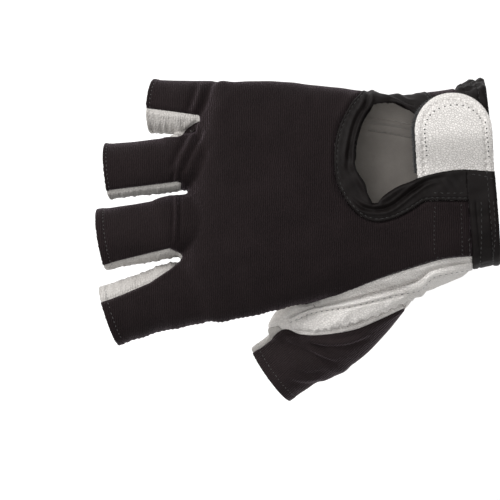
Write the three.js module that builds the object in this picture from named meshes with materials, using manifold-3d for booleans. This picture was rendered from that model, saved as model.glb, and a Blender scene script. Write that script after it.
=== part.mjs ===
// A right-hand half-finger work glove, in the form that a hand gives it: a stretch-knit back and thumb, a leather
// palm with leather gussets between the fingers, a padded palm patch, a padded patch round the thumb crotch,
// a folded tape round the keyhole vent, a taped wrist edge and a leather tab that closes the vent.
// Millimetres. +Z leaves the back of the hand, the fingers point to -X, the thumb to -Y,
// and the origin is the middle of the wrist opening.
import * as THREE from "three";
import { mergeVertices } from "three/addons/utils/BufferGeometryUtils.js";
import Module from "manifold-3d";

const wasm = await Module();
wasm.setup();

// Driving sizes
const gloveLength = 165; // wrist edge to the longest finger's hem
const palmBreadth = 100; // across the knuckles
const palmThickness = 31; // back to palm at the knuckles
const fingerBreadth = 25;
const fingerDepth = 23;
const thumbBreadth = 27;
const thumbDepth = 25;
const wall = 1.5; // knit with its seam allowance, and the palm leather
const seamGap = 0.3; // between any two pieces that are sewn or lie together
const tape = 0.8; // one layer of the folded tape
const tapeFoldRadius = 1.3; // where the tape bunches up
const wristTapeWidth = 12;
const padThickness = 4; // padding and its leather cover
const webPatchThickness = 2.2;
const tabWidth = 31.8;
const tabThickness = 1.6;
const tabLean = 4.5; // degrees towards the fingers
const hookThickness = 1;
const hookInset = 1.5; // from the tab's edge to the hook strip's
const hookProud = 0.8; // how far the hook strip shows past the tab's finger side
const loopThickness = 1;
const loopInset = 1;
const palmFlatness = 2.5; // power of the palm's oval section
const digitFlatness = 2.15; // power of a finger's section

// How finely the forms are cut into faces
const palmSides = 28;
const palmSteps = 13;
const fingerSides = 14;
const fingerSteps = 5;
const thumbSides = 16;
const thumbSteps = 7;
const foldSteps = 5;
const seamSteps = 2; // faces for each row of a seam's table
const tabRows = 14;
const tabColumns = 3;
const tabArcSteps = 8;
const tapeFoldSides = 6;
const tapeFoldSteps = 5;
const leastEdge = 0.02; // shorter ones are closed up

// Room for cuts
const openReach = 0.08 * palmBreadth; // how far a cavity runs out past the edge that it opens
const farOut = 0.7 * palmBreadth; // past every side of the glove

// A table with named columns, one object for each row.
const table = (columns, ...rows) =>
  rows.map((row) => Object.fromEntries(columns.map((name, i) => [name, row[i]])));

// Palm sections from the wrist edge to the web of the fingers. along is a share of gloveLength, ulnar and radial
// are shares of palmBreadth, above and below of palmThickness. slant leans the section in plan.
const palmSections = table(
  ["along", "ulnar", "radial", "above", "below", "slant"],
  [0.0, 0.372, -0.38, 0.62, 0.66, -0.09],
  [0.075, 0.353, -0.408, 0.61, 0.66, -0.06],
  [0.15, 0.337, -0.462, 0.6, 0.65, -0.02],
  [0.225, 0.319, -0.485, 0.58, 0.64, 0],
  [0.32, 0.338, -0.5, 0.57, 0.65, 0],
  [0.42, 0.361, -0.53, 0.56, 0.65, 0],
  [0.52, 0.378, -0.57, 0.55, 0.62, 0.03],
  [0.61, 0.383, -0.61, 0.51, 0.58, 0.06],
  [0.685, 0.382, -0.632, 0.44, 0.53, 0.09],
  [0.735, 0.37, -0.6, 0.34, 0.45, 0.12],
  [0.775, 0.3, -0.53, 0.14, 0.27, 0.134],
);

// Each digit's sections from inside the palm to its hem. along is a share of gloveLength, across of palmBreadth
// and height of palmThickness, all to the section's middle. half and rise are shares of the digit's breadth and depth.
const digit = ["along", "across", "height", "half", "rise"];
const fingers = {
  little: table(digit, [0.62, 0.252, -0.13, 0.44, 0.38], [0.75, 0.268, -0.23, 0.462, 0.46],
    [0.81, 0.275, -0.32, 0.455, 0.445], [0.864, 0.281, -0.4, 0.45, 0.43]),
  ring: table(digit, [0.62, 0.06, -0.05, 0.46, 0.44], [0.782, 0.042, -0.1, 0.495, 0.54],
    [0.84, 0.026, -0.13, 0.47, 0.52], [0.978, 0.004, -0.23, 0.47, 0.48]),
  middle: table(digit, [0.62, -0.203, -0.03, 0.46, 0.46], [0.799, -0.226, -0.07, 0.54, 0.56],
    [0.86, -0.248, -0.1, 0.52, 0.54], [0.993, -0.284, -0.2, 0.512, 0.5]),
  index: table(digit, [0.62, -0.47, -0.06, 0.48, 0.4], [0.797, -0.513, -0.12, 0.58, 0.55],
    [0.86, -0.54, -0.16, 0.54, 0.53], [0.975, -0.605, -0.24, 0.508, 0.48]),
};
const thumb = table(digit, [0.19, -0.16, -0.2, 0.67, 0.56], [0.257, -0.319, -0.26, 0.77, 0.67],
  [0.326, -0.475, -0.36, 0.76, 0.67], [0.387, -0.622, -0.47, 0.69, 0.62], [0.438, -0.722, -0.56, 0.585, 0.56],
  [0.489, -0.77, -0.63, 0.535, 0.525], [0.561, -0.854, -0.71, 0.505, 0.5]);

// The fold of leather that stands out between the thumb and the index finger, in shares of the thumb's sizes.
const crotchFold = table(digit, [0.4, -0.575, -0.36, 0.4, 0.36], [0.47, -0.615, -0.41, 0.4, 0.34],
  [0.52, -0.648, -0.46, 0.3, 0.26], [0.55, -0.67, -0.49, 0.2, 0.18], [0.568, -0.68, -0.5, 0.09, 0.09]);

// Seams and edges seen from above, as shares of gloveLength and palmBreadth.
const plan = ["along", "across"];
const seams = {
  // Where the knit back meets the leather on the thumb side, from past the wrist edge to the index finger.
  radial: table(plan, [-0.07, -0.357], [0.056, -0.359], [0.132, -0.37], [0.209, -0.407], [0.285, -0.45], [0.361, -0.5],
    [0.438, -0.542], [0.514, -0.571], [0.59, -0.605], [0.64, -0.63]),
  // The end of the back's hand part across the roots of the fingers.
  knuckles: table(plan, [0.78, -0.75], [0.791, -0.361], [0.791, -0.08], [0.79, 0.15], [0.746, 0.2], [0.746, 0.5]),
  // The vent in the back: the edge on the thumb side, the ruffled round end and the edge under the tab.
  ventLower: table(plan, [-0.07, 0.0], [0.007, 0.0], [0.074, 0.007], [0.115, 0.002], [0.155, -0.011], [0.196, -0.034],
    [0.236, -0.058], [0.261, -0.08], [0.283, -0.107], [0.294, -0.13]),
  ventRound: table(plan, [0.306, -0.137], [0.319, -0.094], [0.326, -0.051], [0.346, 0.0], [0.352, 0.045],
    [0.352, 0.107], [0.346, 0.152], [0.334, 0.205], [0.318, 0.25], [0.303, 0.278]),
  ventUpper: table(plan, [0.261, 0.286], [0.236, 0.27], [0.201, 0.237], [0.16, 0.19], [0.1, 0.165], [-0.07, 0.16]),
  // The outer edge of the folded tape round the vent, and its ulnar side, out past the glove's side.
  tapeEdge: table(plan, [-0.07, -0.122], [0.069, -0.123], [0.142, -0.122], [0.174, -0.125], [0.196, -0.146],
    [0.223, -0.173], [0.261, -0.2], [0.3, -0.209], [0.341, -0.183], [0.376, -0.118], [0.399, -0.034], [0.404, 0.071],
    [0.393, 0.176], [0.36, 0.284], [0.318, 0.352]),
  tapeBack: table(plan, [0.318, 0.43], [0.22, 0.43], [0.15, 0.3], [-0.07, 0.285]),
  // The knit thumb's upper edge, and a way round the thumb, clear of it.
  thumbKnit: table(plan, [0.68, -0.845], [0.612, -0.765], [0.572, -0.717], [0.532, -0.664], [0.492, -0.682],
    [0.44, -0.687], [0.353, -0.666], [0.287, -0.625], [0.22, -0.577], [0.17, -0.557]),
  thumbRound: table(plan, [0.1, -0.75], [0.3, -1.2], [0.75, -1.3]),
  // The thumb's leather front, round the thumb beyond the crotch.
  thumbFront: table(plan, [0.545, -0.65], [0.372, -0.89], [0.36, -1.15], [0.75, -1.2], [0.72, -0.7]),
  // The padded patch at the thumb crotch, its edge by the back and its edge by the thumb.
  patchUpper: table(plan, [0.519, -0.614], [0.459, -0.573], [0.36, -0.54], [0.287, -0.509], [0.195, -0.459],
    [0.148, -0.408], [0.04, -0.378]),
  patchLower: table(plan, [0.04, -0.43], [0.104, -0.452], [0.155, -0.489], [0.214, -0.539], [0.287, -0.597],
    [0.375, -0.647], [0.44, -0.672], [0.506, -0.664]),
  // The padded patch on the palm.
  palmPad: table(plan, [0.15, 0.2], [0.13, 0.0], [0.15, -0.22], [0.3, -0.36], [0.48, -0.46], [0.64, -0.54],
    [0.7, -0.46], [0.71, -0.2], [0.71, 0.1], [0.67, 0.26], [0.5, 0.27], [0.3, 0.24], [0.15, 0.2]),
};

// The knit on each finger seen from above. Where it wraps round a side, its edge runs down the gap to the next finger.
const fingerKnit = {
  little: table(plan, [0.94, 0.5], [0.94, 0.286], [0.883, 0.27], [0.753, 0.238], [0.7, 0.23], [0.7, 0.5]),
  ring: table(plan, [1.05, 0.148], [0.871, 0.15], [0.799, 0.151], [0.746, 0.214], [0.7, 0.22], [0.7, -0.08],
    [0.78, -0.06], [0.799, -0.046], [0.972, -0.08], [1.05, -0.1]),
  middle: table(plan, [1.05, -0.175], [0.972, -0.14], [0.871, -0.103], [0.794, -0.08], [0.7, -0.06], [0.7, -0.36],
    [0.785, -0.355], [0.82, -0.325], [0.871, -0.345], [0.98, -0.39], [1.05, -0.42]),
  index: table(plan, [1.05, -0.585], [1.0, -0.55], [0.93, -0.505], [0.871, -0.462], [0.817, -0.4], [0.792, -0.361],
    [0.7, -0.36], [0.62, -0.63], [0.64, -0.75], [1.05, -0.9]),
};
const gussetPairs = [["little", "ring"], ["ring", "middle"], ["middle", "index"]];

// Where the tape round the vent bunches up, seen from above.
const tapeFolds = [
  table(plan, [0.318, 0.345], [0.316, 0.3], [0.32, 0.25]),
  table(plan, [0.31, -0.165], [0.262, -0.147], [0.223, -0.107], [0.182, -0.058], [0.145, -0.045]),
  table(plan, [0.383, 0.178], [0.387, 0.09], [0.383, 0.004], [0.364, -0.076], [0.337, -0.129]),
];

// How low each region reaches, as shares of a depth below the line or plane that it follows.
const backDrop = 0.16; // of palmThickness, below the origin's plane
const fingerKnitDrop = 0.12; // of fingerDepth, below the finger's line
const gussetDrop = 0.42; // of fingerDepth, below the higher finger's line
const thumbKnitDrop = 0; // of thumbDepth, below the thumb's line
const patchDrop = 0.5; // of palmThickness
const padTop = -0.2; // of palmThickness, where the palm patch ends on the palm's sides
const ventBase = 0; // of palmThickness
const tapeBase = 0.08; // of palmThickness

// The tab, as shares of gloveLength and palmBreadth: its middle, its root, its end, the place where it comes out from
// under the flap, and the place from which it lies on the other flap.
const tabCentre = -0.0976 * gloveLength;
const tabRoot = -0.13 * palmBreadth;
const tabEnd = 0.33 * palmBreadth;
const tabOut = 0.005 * palmBreadth;
const tabLanding = 0.175 * palmBreadth;

// Materials
const cloth = (color, roughness) => new THREE.MeshStandardMaterial({ color, roughness, metalness: 0 });
const knitBlack = cloth(0x262123, 0.9);
const tapeBlack = cloth(0x1f1c1d, 0.6);
const fastenerBlack = cloth(0x18171a, 0.95);
const leatherGrey = cloth(0xc4c1bc, 0.6);
const leatherWhite = cloth(0xdcd8d3, 0.55);

// The value at share t of a smooth curve through the values.
function smooth(values, t) {
  const last = values.length - 1;
  const k = Math.min(Math.floor(t * last), last - 1);
  const u = t * last - k;
  const [a, b, c, d] = [-1, 0, 1, 2].map((j) => values[THREE.MathUtils.clamp(k + j, 0, last)]);
  return b + 0.5 * u * (c - a + u * (2 * a - 5 * b + 4 * c - d + u * (3 * (b - c) + d - a)));
}

// A row of a table at share t of the way down it.
function rowAt(rows, t) {
  const names = Object.keys(rows[0]);
  return Object.fromEntries(names.map((name) => [name, smooth(rows.map((row) => row[name]), t)]));
}

const planPoint = ({ along, across }) => new THREE.Vector2(-along * gloveLength, across * palmBreadth);
const spacePoint = ({ along, across, height }) =>
  new THREE.Vector3(-along * gloveLength, across * palmBreadth, height * palmThickness);
const shares = (count) => Array.from({ length: count + 1 }, (_, i) => i / count);

// A solid from a closed geometry.
function solidOf(geometry) {
  const bare = geometry.clone();
  bare.deleteAttribute("normal");
  bare.deleteAttribute("uv");
  const merged = mergeVertices(bare);
  const mesh = new wasm.Mesh({
    numProp: 3,
    vertProperties: new Float32Array(merged.attributes.position.array),
    triVerts: new Uint32Array(merged.index.array),
  });
  return new wasm.Manifold(mesh);
}

const joined = (solids) => solids.reduce((sum, solid) => sum.add(solid));

// A closed tube through rings that each turn anticlockwise as seen from the tube's end.
function skinned(rings) {
  const sides = rings[0].length;
  const points = rings.flat();
  const faces = [];
  rings.slice(1).forEach((_, i) => {
    for (let k = 0; k < sides; k++) {
      const [a, b] = [i * sides + k, i * sides + ((k + 1) % sides)];
      faces.push(a, b, a + sides, b, b + sides, a + sides);
    }
  });
  const middle = (ring) => ring.reduce((sum, point) => sum.add(point), new THREE.Vector3()).divideScalar(sides);
  const [start, end] = [points.length, points.length + 1];
  const lastRing = points.length - sides;
  points.push(middle(rings[0]), middle(rings[rings.length - 1]));
  for (let k = 0; k < sides; k++) {
    const next = (k + 1) % sides;
    faces.push(start, next, k, end, lastRing + k, lastRing + next);
  }
  return solidOf(new THREE.BufferGeometry().setFromPoints(points).setIndex(faces));
}

// Points round an oval section, with its own height above and below.
function oval({ centre, side, up, half, above, below, power, sides }) {
  const bulge = (value) => Math.sign(value) * Math.abs(value) ** (2 / power);
  return Array.from({ length: sides }, (_, k) => {
    const angle = (2 * Math.PI * k) / sides;
    const [c, s] = [bulge(Math.cos(angle)), bulge(Math.sin(angle))];
    return centre.clone().addScaledVector(side, c * half).addScaledVector(up, s * (s > 0 ? above : below));
  });
}

// The palm's section at share t of its table, grown by so much.
function palmSection(t, grow) {
  const row = rowAt(palmSections, t);
  return {
    centre: new THREE.Vector3(-row.along * gloveLength, ((row.ulnar + row.radial) / 2) * palmBreadth, 0),
    side: new THREE.Vector3(row.slant, 1, 0),
    up: new THREE.Vector3(0, 0, 1),
    half: ((row.ulnar - row.radial) / 2) * palmBreadth + grow,
    above: row.above * palmThickness + grow,
    below: row.below * palmThickness + grow,
    power: palmFlatness,
    sides: palmSides,
  };
}

function palmTube(grow) {
  const sections = shares(palmSteps).map((t) => palmSection(t, grow));
  sections[palmSteps].centre.x -= grow;
  const mouth = palmSection(0, grow);
  mouth.centre.x += openReach;
  return skinned((grow < 0 ? [mouth, ...sections] : sections).map(oval).reverse());
}

// A finger, the thumb or a fold through its table's sections, square to its own line. A fold's end is closed.
function digitTube({ rows, breadth, depth, grow, sides, steps, open = true }) {
  const line = new THREE.CatmullRomCurve3(rows.map(spacePoint), false, "catmullrom", 0.5);
  const sectionAt = (t, beyond) => {
    const row = rowAt(rows, t);
    const tangent = line.getTangent(t);
    const side = new THREE.Vector3(0, 0, 1).cross(tangent).normalize();
    return {
      centre: line.getPoint(t).addScaledVector(tangent, beyond),
      side,
      up: tangent.clone().cross(side),
      half: row.half * breadth + grow,
      above: row.rise * depth + grow,
      below: row.rise * depth + grow,
      power: digitFlatness,
      sides,
    };
  };
  const endShift = open ? 0 : grow;
  const sections = shares(steps).map((t) => sectionAt(t, t === 1 ? endShift : 0))
    .filter(({ half, above }) => Math.min(half, above) > 0);
  if (grow < 0 && open) sections.push(sectionAt(1, openReach));
  return skinned(sections.map(oval));
}

const fingerLike = { breadth: fingerBreadth, depth: fingerDepth, sides: fingerSides, steps: fingerSteps };
const thumbLike = { breadth: thumbBreadth, depth: thumbDepth, sides: thumbSides, steps: thumbSteps };
const fingerTubes = (grow) => Object.values(fingers).map((rows) => digitTube({ ...fingerLike, rows, grow }));
const thumbTube = (grow) => digitTube({ ...thumbLike, rows: thumb, grow });
const foldTube = (grow) => digitTube({ ...thumbLike, rows: crotchFold, grow, steps: foldSteps, open: false });
const thumbSide = (grow) => joined([palmTube(grow), thumbTube(grow), foldTube(grow)]);
const handForm = (grow) => joined([thumbSide(grow), ...fingerTubes(grow)]);

// The height of the palm form's top, grown by so much, over a place near the wrist.
function wristTop(x, y, grow) {
  const halvings = 20;
  const nearSide = 0.995;
  let [low, high] = [0, 1];
  for (let i = 0; i < halvings; i++) {
    const t = (low + high) / 2;
    const section = palmSection(t, 0);
    if (section.centre.x + (y - section.centre.y) * section.side.x > x) low = t;
    else high = t;
  }
  const { centre, half, above, power } = palmSection(low, grow);
  const reach = Math.min(Math.abs(y - centre.y) / half, nearSide);
  return above * (1 - reach ** power) ** (1 / power);
}

// A smooth line through a seam's rows.
function seamLine(rows) {
  return new THREE.SplineCurve(rows.map(planPoint)).getPoints((rows.length - 1) * seamSteps);
}

// An outline, anticlockwise from above, moved outwards by so much.
function grownOutline(outline, grow) {
  return outline.map((point, i) => {
    const before = outline[(i + outline.length - 1) % outline.length];
    const after = outline[(i + 1) % outline.length];
    const along = after.clone().sub(before).normalize();
    return new THREE.Vector2(point.x + along.y * grow, point.y - along.x * grow);
  });
}

// The space over an outline, from a height, or a height that varies with the place, up to another height.
function prism(outline, low, high, grow = 0) {
  const ring = THREE.ShapeUtils.isClockWise(outline) ? [...outline].reverse() : outline;
  const edge = grownOutline(ring, grow);
  const lowAt = typeof low === "function" ? low : () => low;
  const bottom = edge.map((point, i) => new THREE.Vector3(point.x, point.y, lowAt(ring[i].x, ring[i].y) - grow));
  const top = edge.map((point) => new THREE.Vector3(point.x, point.y, high));
  const faces = THREE.ShapeUtils.triangulateShape(ring, []).flatMap(([a, b, c]) =>
    [a, c, b, a + ring.length, b + ring.length, c + ring.length]);
  ring.forEach((_, i) => {
    const next = (i + 1) % ring.length;
    faces.push(i, next, i + ring.length, next, next + ring.length, i + ring.length);
  });
  return solidOf(new THREE.BufferGeometry().setFromPoints([...bottom, ...top]).setIndex(faces));
}

// The height of a digit's line at the place nearest to a point in plan, less a drop.
function underLine(rows, drop) {
  const points = rows.map(spacePoint);
  return (x, y) => {
    let best = { distance: Infinity, z: 0 };
    points.slice(1).forEach((end, i) => {
      const start = points[i];
      const [dx, dy] = [end.x - start.x, end.y - start.y];
      const share = THREE.MathUtils.clamp(((x - start.x) * dx + (y - start.y) * dy) / (dx * dx + dy * dy), 0, 1);
      const distance = Math.hypot(x - start.x - share * dx, y - start.y - share * dy);
      if (distance < best.distance) best = { distance, z: start.z + share * (end.z - start.z) };
    });
    return best.z - drop;
  };
}

// The region of the knit back: the hand and each finger.
function backRegion(grow) {
  const hand = [...seamLine(seams.radial), ...seams.knuckles.map(planPoint), new THREE.Vector2(openReach, farOut)];
  const onHand = prism(hand, -backDrop * palmThickness, farOut, grow);
  const onFingers = Object.entries(fingerKnit).map(([name, rows]) =>
    prism(rows.map(planPoint), underLine(fingers[name], fingerKnitDrop * fingerDepth), farOut, grow));
  return joined([onHand, ...onFingers]);
}

// The region of the knit thumb: past its upper edge and above a sheet just under its line.
function thumbRegion(grow) {
  const outline = [...seamLine(seams.thumbKnit), ...seams.thumbRound.map(planPoint)];
  return prism(outline, underLine(thumb, thumbKnitDrop * thumbDepth), farOut, grow);
}

// The leather between two neighbouring fingers: between their lines in plan, and above a sheet under both.
function gussetRegion([first, second], grow) {
  const [a, b] = [fingers[first], fingers[second]];
  const pastHem = (rows) => {
    const [before, hem] = rows.slice(-2).map(planPoint);
    return hem.clone().add(hem.clone().sub(before).setLength(openReach));
  };
  const outline = [planPoint(a[0]), pastHem(a), pastHem(b), planPoint(b[0])];
  const [sheetA, sheetB] = [a, b].map((rows) => underLine(rows, gussetDrop * fingerDepth));
  return prism(outline, (x, y) => Math.max(sheetA(x, y), sheetB(x, y)), farOut, grow);
}

// The wrist end of the glove, as wide as the wrist tape.
function wristRegion(grow) {
  const lean = palmSections[0].slant * farOut;
  const corners = [[openReach * 2, -farOut], [openReach * 2, farOut], [lean - wristTapeWidth, farOut],
    [-lean - wristTapeWidth, -farOut]];
  return prism(corners.map(([x, y]) => new THREE.Vector2(x, y)), -farOut, farOut, grow);
}

const ventOutline = [...seamLine(seams.ventLower), ...seamLine(seams.ventRound), ...seamLine(seams.ventUpper)];
const tapeOutline = [...seamLine(seams.tapeEdge), ...seams.tapeBack.map(planPoint)];
const patchOutline = [...seamLine(seams.patchUpper), ...seamLine(seams.patchLower)];
const ventRegion = prism(ventOutline, ventBase * palmThickness, farOut);
const tapeRegion = (grow) => prism(tapeOutline, tapeBase * palmThickness, farOut, grow);
const thumbFrontRegion = (grow) => prism(seams.thumbFront.map(planPoint), -farOut, farOut, grow);

// A bunched fold of the tape: a round bar along a route in plan, half sunk in the tape.
function tapeFold(rows) {
  const route = seamLine(rows).map(({ x, y }) => new THREE.Vector3(x, y, wristTop(x, y, tape - tapeFoldRadius / 2)));
  const section = new THREE.Shape().absarc(0, 0, tapeFoldRadius, 0, 2 * Math.PI);
  return solidOf(new THREE.ExtrudeGeometry(section, {
    extrudePath: new THREE.CatmullRomCurve3(route),
    steps: tapeFoldSteps,
    curveSegments: tapeFoldSides / 2,
    bevelEnabled: false,
  }));
}

// A thin piece laid over the wrist's top, its underside at a distance from the wrist's form that varies with y.
function overWrist(outline, lowAt, thickness) {
  const box = new THREE.Box2().setFromPoints(outline).expandByScalar(thickness);
  const rings = shares(tabRows).map((share) => {
    const y = THREE.MathUtils.lerp(box.min.y, box.max.y, share);
    const xs = shares(tabColumns).map((part) => THREE.MathUtils.lerp(box.min.x, box.max.x, part));
    const lower = xs.map((x) => new THREE.Vector3(x, y, wristTop(x, y, lowAt(y))));
    const upper = xs.map((x) => new THREE.Vector3(x, y, wristTop(x, y, lowAt(y) + thickness)));
    return [...lower, ...upper.reverse()];
  });
  return skinned(rings.reverse()).intersect(prism(outline, -farOut, farOut));
}

// The outline of the tab, or of a piece set in from its edge: straight sides from a root to a half-round end.
function tabOutline(inset, root, shift = 0) {
  const radius = tabWidth / 2 - inset;
  const round = shares(tabArcSteps).map((share) => {
    const angle = Math.PI * share;
    return new THREE.Vector2(Math.cos(angle) * radius, tabEnd - tabWidth / 2 + Math.sin(angle) * radius);
  });
  const outline = [new THREE.Vector2(radius, root), ...round, new THREE.Vector2(-radius, root)];
  const pivot = new THREE.Vector2(0, 0);
  const lean = THREE.MathUtils.degToRad(tabLean);
  return outline.map((point) => point.rotateAround(pivot, lean).add(new THREE.Vector2(tabCentre - shift, 0)));
}

// From the wrist's form up: the flap's tape, the loop patch, the hook patch and the tab, with a gap between each.
const loopLow = tape + seamGap;
const hookLow = loopLow + loopThickness + seamGap;
const tabLow = hookLow + hookThickness + seamGap;
const tabUnderFlap = -(wall + tape + seamGap + tabThickness);
const tabLowAt = (y) =>
  THREE.MathUtils.lerp(tabUnderFlap, tabLow, THREE.MathUtils.smoothstep(y, tabOut, tabLanding));

const glove = new THREE.Group();

// Adds a mesh of a solid's main body, without the crumbs that a cut leaves.
function addPiece(name, solid, material) {
  const body = solid.decompose().reduce((best, other) => (other.volume() > best.volume() ? other : best));
  const cut = body.simplify(leastEdge).getMesh();
  const geometry = new THREE.BufferGeometry();
  geometry.setAttribute("position", new THREE.BufferAttribute(new Float32Array(cut.vertProperties), 3));
  geometry.setIndex(new THREE.BufferAttribute(new Uint32Array(cut.triVerts), 1));
  const mesh = new THREE.Mesh(geometry, material);
  mesh.name = name;
  glove.add(mesh);
}

// The one-layer shell of knit and leather
const outer = handForm(0);
const shell = outer.subtract(handForm(-wall)).subtract(wristRegion(seamGap));
const leather = shell.subtract(backRegion(seamGap)).subtract(thumbRegion(seamGap));
const gussets = joined(gussetPairs.map((pair) => gussetRegion(pair, seamGap)));
addPiece("back_panel", shell.intersect(backRegion(0)).subtract(ventRegion).subtract(tapeRegion(seamGap))
  .subtract(thumbRegion(seamGap)), knitBlack);
addPiece("thumb_back", shell.intersect(thumbRegion(0)), knitBlack);
addPiece("thumb_front", leather.intersect(thumbFrontRegion(0)), leatherGrey);
addPiece("palm_panel", leather.subtract(thumbFrontRegion(seamGap)).subtract(gussets), leatherGrey);
gussetPairs.forEach((pair) =>
  addPiece(`gusset_${pair.join("_")}`, leather.intersect(gussetRegion(pair, 0)), leatherGrey));

// The padded patches
addPiece("palm_pad", palmTube(seamGap + padThickness).subtract(handForm(seamGap))
  .intersect(prism(seamLine(seams.palmPad).slice(1), -farOut, padTop * palmThickness)), leatherWhite);
addPiece("thumb_web_patch", thumbSide(seamGap + webPatchThickness).subtract(thumbSide(seamGap))
  .intersect(prism(patchOutline, -patchDrop * palmThickness, farOut)).subtract(wristRegion(seamGap)), leatherWhite);

// The tapes, folded over the edge that they cover
const tapeShell = palmTube(tape).subtract(palmTube(-wall - tape)).subtract(ventRegion);
addPiece("vent_tape", joined([tapeShell, ...tapeFolds.map(tapeFold)]).intersect(tapeRegion(0)).subtract(ventRegion)
  .subtract(wristRegion(seamGap)), tapeBlack);
addPiece("wrist_tape", tapeShell.intersect(wristRegion(0)), tapeBlack);

// The fastening
addPiece("loop_patch", overWrist(tabOutline(loopInset, tabOut), () => loopLow, loopThickness)
  .trimByPlane([0, 1, 0], tabLanding), fastenerBlack);
addPiece("hook_patch", overWrist(tabOutline(hookInset, tabOut, hookProud + hookInset),
  (y) => tabLowAt(y) - seamGap - hookThickness, hookThickness), fastenerBlack);
addPiece("wrist_tab", overWrist(tabOutline(0, tabRoot), tabLowAt, tabThickness), leatherWhite);

export default glove;
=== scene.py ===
import math
import bpy
import numpy as np
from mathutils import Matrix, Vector, kdtree
from mathutils.bvhtree import BVHTree


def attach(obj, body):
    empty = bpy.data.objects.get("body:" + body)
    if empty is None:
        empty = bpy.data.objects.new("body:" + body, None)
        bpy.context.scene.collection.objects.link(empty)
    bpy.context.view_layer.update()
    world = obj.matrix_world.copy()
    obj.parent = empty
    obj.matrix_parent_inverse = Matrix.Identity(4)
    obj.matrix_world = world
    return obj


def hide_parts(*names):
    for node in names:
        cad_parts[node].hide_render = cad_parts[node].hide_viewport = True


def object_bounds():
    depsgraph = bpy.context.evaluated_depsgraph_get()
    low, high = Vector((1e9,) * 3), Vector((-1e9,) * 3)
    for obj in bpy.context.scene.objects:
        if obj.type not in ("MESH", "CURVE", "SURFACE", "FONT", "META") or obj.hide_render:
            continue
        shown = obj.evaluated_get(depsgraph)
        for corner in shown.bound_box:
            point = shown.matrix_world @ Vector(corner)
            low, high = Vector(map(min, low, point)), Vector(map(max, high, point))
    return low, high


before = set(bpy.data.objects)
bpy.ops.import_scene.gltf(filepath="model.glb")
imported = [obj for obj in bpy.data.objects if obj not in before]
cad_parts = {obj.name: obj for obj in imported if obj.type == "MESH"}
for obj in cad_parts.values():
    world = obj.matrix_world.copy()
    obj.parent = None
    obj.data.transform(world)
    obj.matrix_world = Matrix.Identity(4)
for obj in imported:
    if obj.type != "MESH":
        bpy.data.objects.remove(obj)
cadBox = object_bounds()
mm = 0.001
body = "root"

# the glove's form
# Tables are shares of these sizes, in millimetres: +Z leaves the back of the hand,
# the fingers point to -X and the thumb to -Y, from the middle of the wrist opening.
form = {
    "gloveLength": 165.0, "palmBreadth": 100.0, "palmThickness": 31.0,
    "fingerBreadth": 25.0, "fingerDepth": 23.0, "thumbBreadth": 27.0, "thumbDepth": 25.0,
    "palmPower": 2.5, "digitPower": 2.15,
    "wall": 1.3, "wristTape": 12.0, "voxel": 0.6, "overrun": 4.0,
    "hemInset": 2.6, "hemReach": 60.0, "digitReach": 3.0,
    "many": 25000, "kept": 0.68,  # triangles past which a mesh is thinned out, and the share that stays
}

# along, ulnar, radial, above, below, slant
palmSections = [
    (0.0, 0.372, -0.38, 0.62, 0.66, -0.09), (0.075, 0.353, -0.408, 0.61, 0.66, -0.06),
    (0.15, 0.337, -0.462, 0.6, 0.65, -0.02), (0.225, 0.319, -0.485, 0.58, 0.64, 0),
    (0.32, 0.338, -0.5, 0.57, 0.65, 0), (0.42, 0.361, -0.53, 0.56, 0.65, 0),
    (0.52, 0.378, -0.57, 0.55, 0.62, 0.03), (0.61, 0.383, -0.61, 0.51, 0.58, 0.06),
    (0.685, 0.379, -0.632, 0.44, 0.53, 0.09), (0.735, 0.376, -0.6, 0.34, 0.45, 0.12),
    (0.775, 0.3, -0.53, 0.14, 0.27, 0.134),
]

# along, across, height, half, rise
digits = {
    "little": [(0.62, 0.258, -0.13, 0.47, 0.38), (0.75, 0.268, -0.23, 0.462, 0.46),
               (0.81, 0.275, -0.32, 0.455, 0.445), (0.864, 0.281, -0.4, 0.45, 0.43)],
    "ring": [(0.62, 0.06, -0.05, 0.46, 0.44), (0.782, 0.042, -0.1, 0.48, 0.54),
             (0.84, 0.026, -0.13, 0.458, 0.52), (0.978, 0.004, -0.23, 0.47, 0.48)],
    "middle": [(0.62, -0.203, -0.03, 0.46, 0.46), (0.799, -0.226, -0.07, 0.518, 0.56),
               (0.86, -0.248, -0.1, 0.502, 0.54), (0.993, -0.284, -0.2, 0.512, 0.5)],
    "index": [(0.62, -0.47, -0.06, 0.48, 0.4), (0.797, -0.516, -0.12, 0.56, 0.55),
              (0.86, -0.543, -0.16, 0.526, 0.53), (0.975, -0.605, -0.24, 0.508, 0.48)],
    "thumb": [(0.19, -0.16, -0.2, 0.67, 0.56), (0.257, -0.319, -0.26, 0.77, 0.67),
              (0.326, -0.475, -0.36, 0.76, 0.67), (0.387, -0.622, -0.47, 0.69, 0.62),
              (0.438, -0.722, -0.56, 0.585, 0.56), (0.489, -0.77, -0.63, 0.535, 0.525),
              (0.561, -0.854, -0.71, 0.505, 0.5)],
    "fold": [(0.4, -0.575, -0.36, 0.4, 0.36), (0.47, -0.615, -0.41, 0.4, 0.34),
             (0.52, -0.648, -0.46, 0.3, 0.26), (0.55, -0.67, -0.49, 0.2, 0.18),
             (0.568, -0.68, -0.5, 0.09, 0.09)],
}

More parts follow.
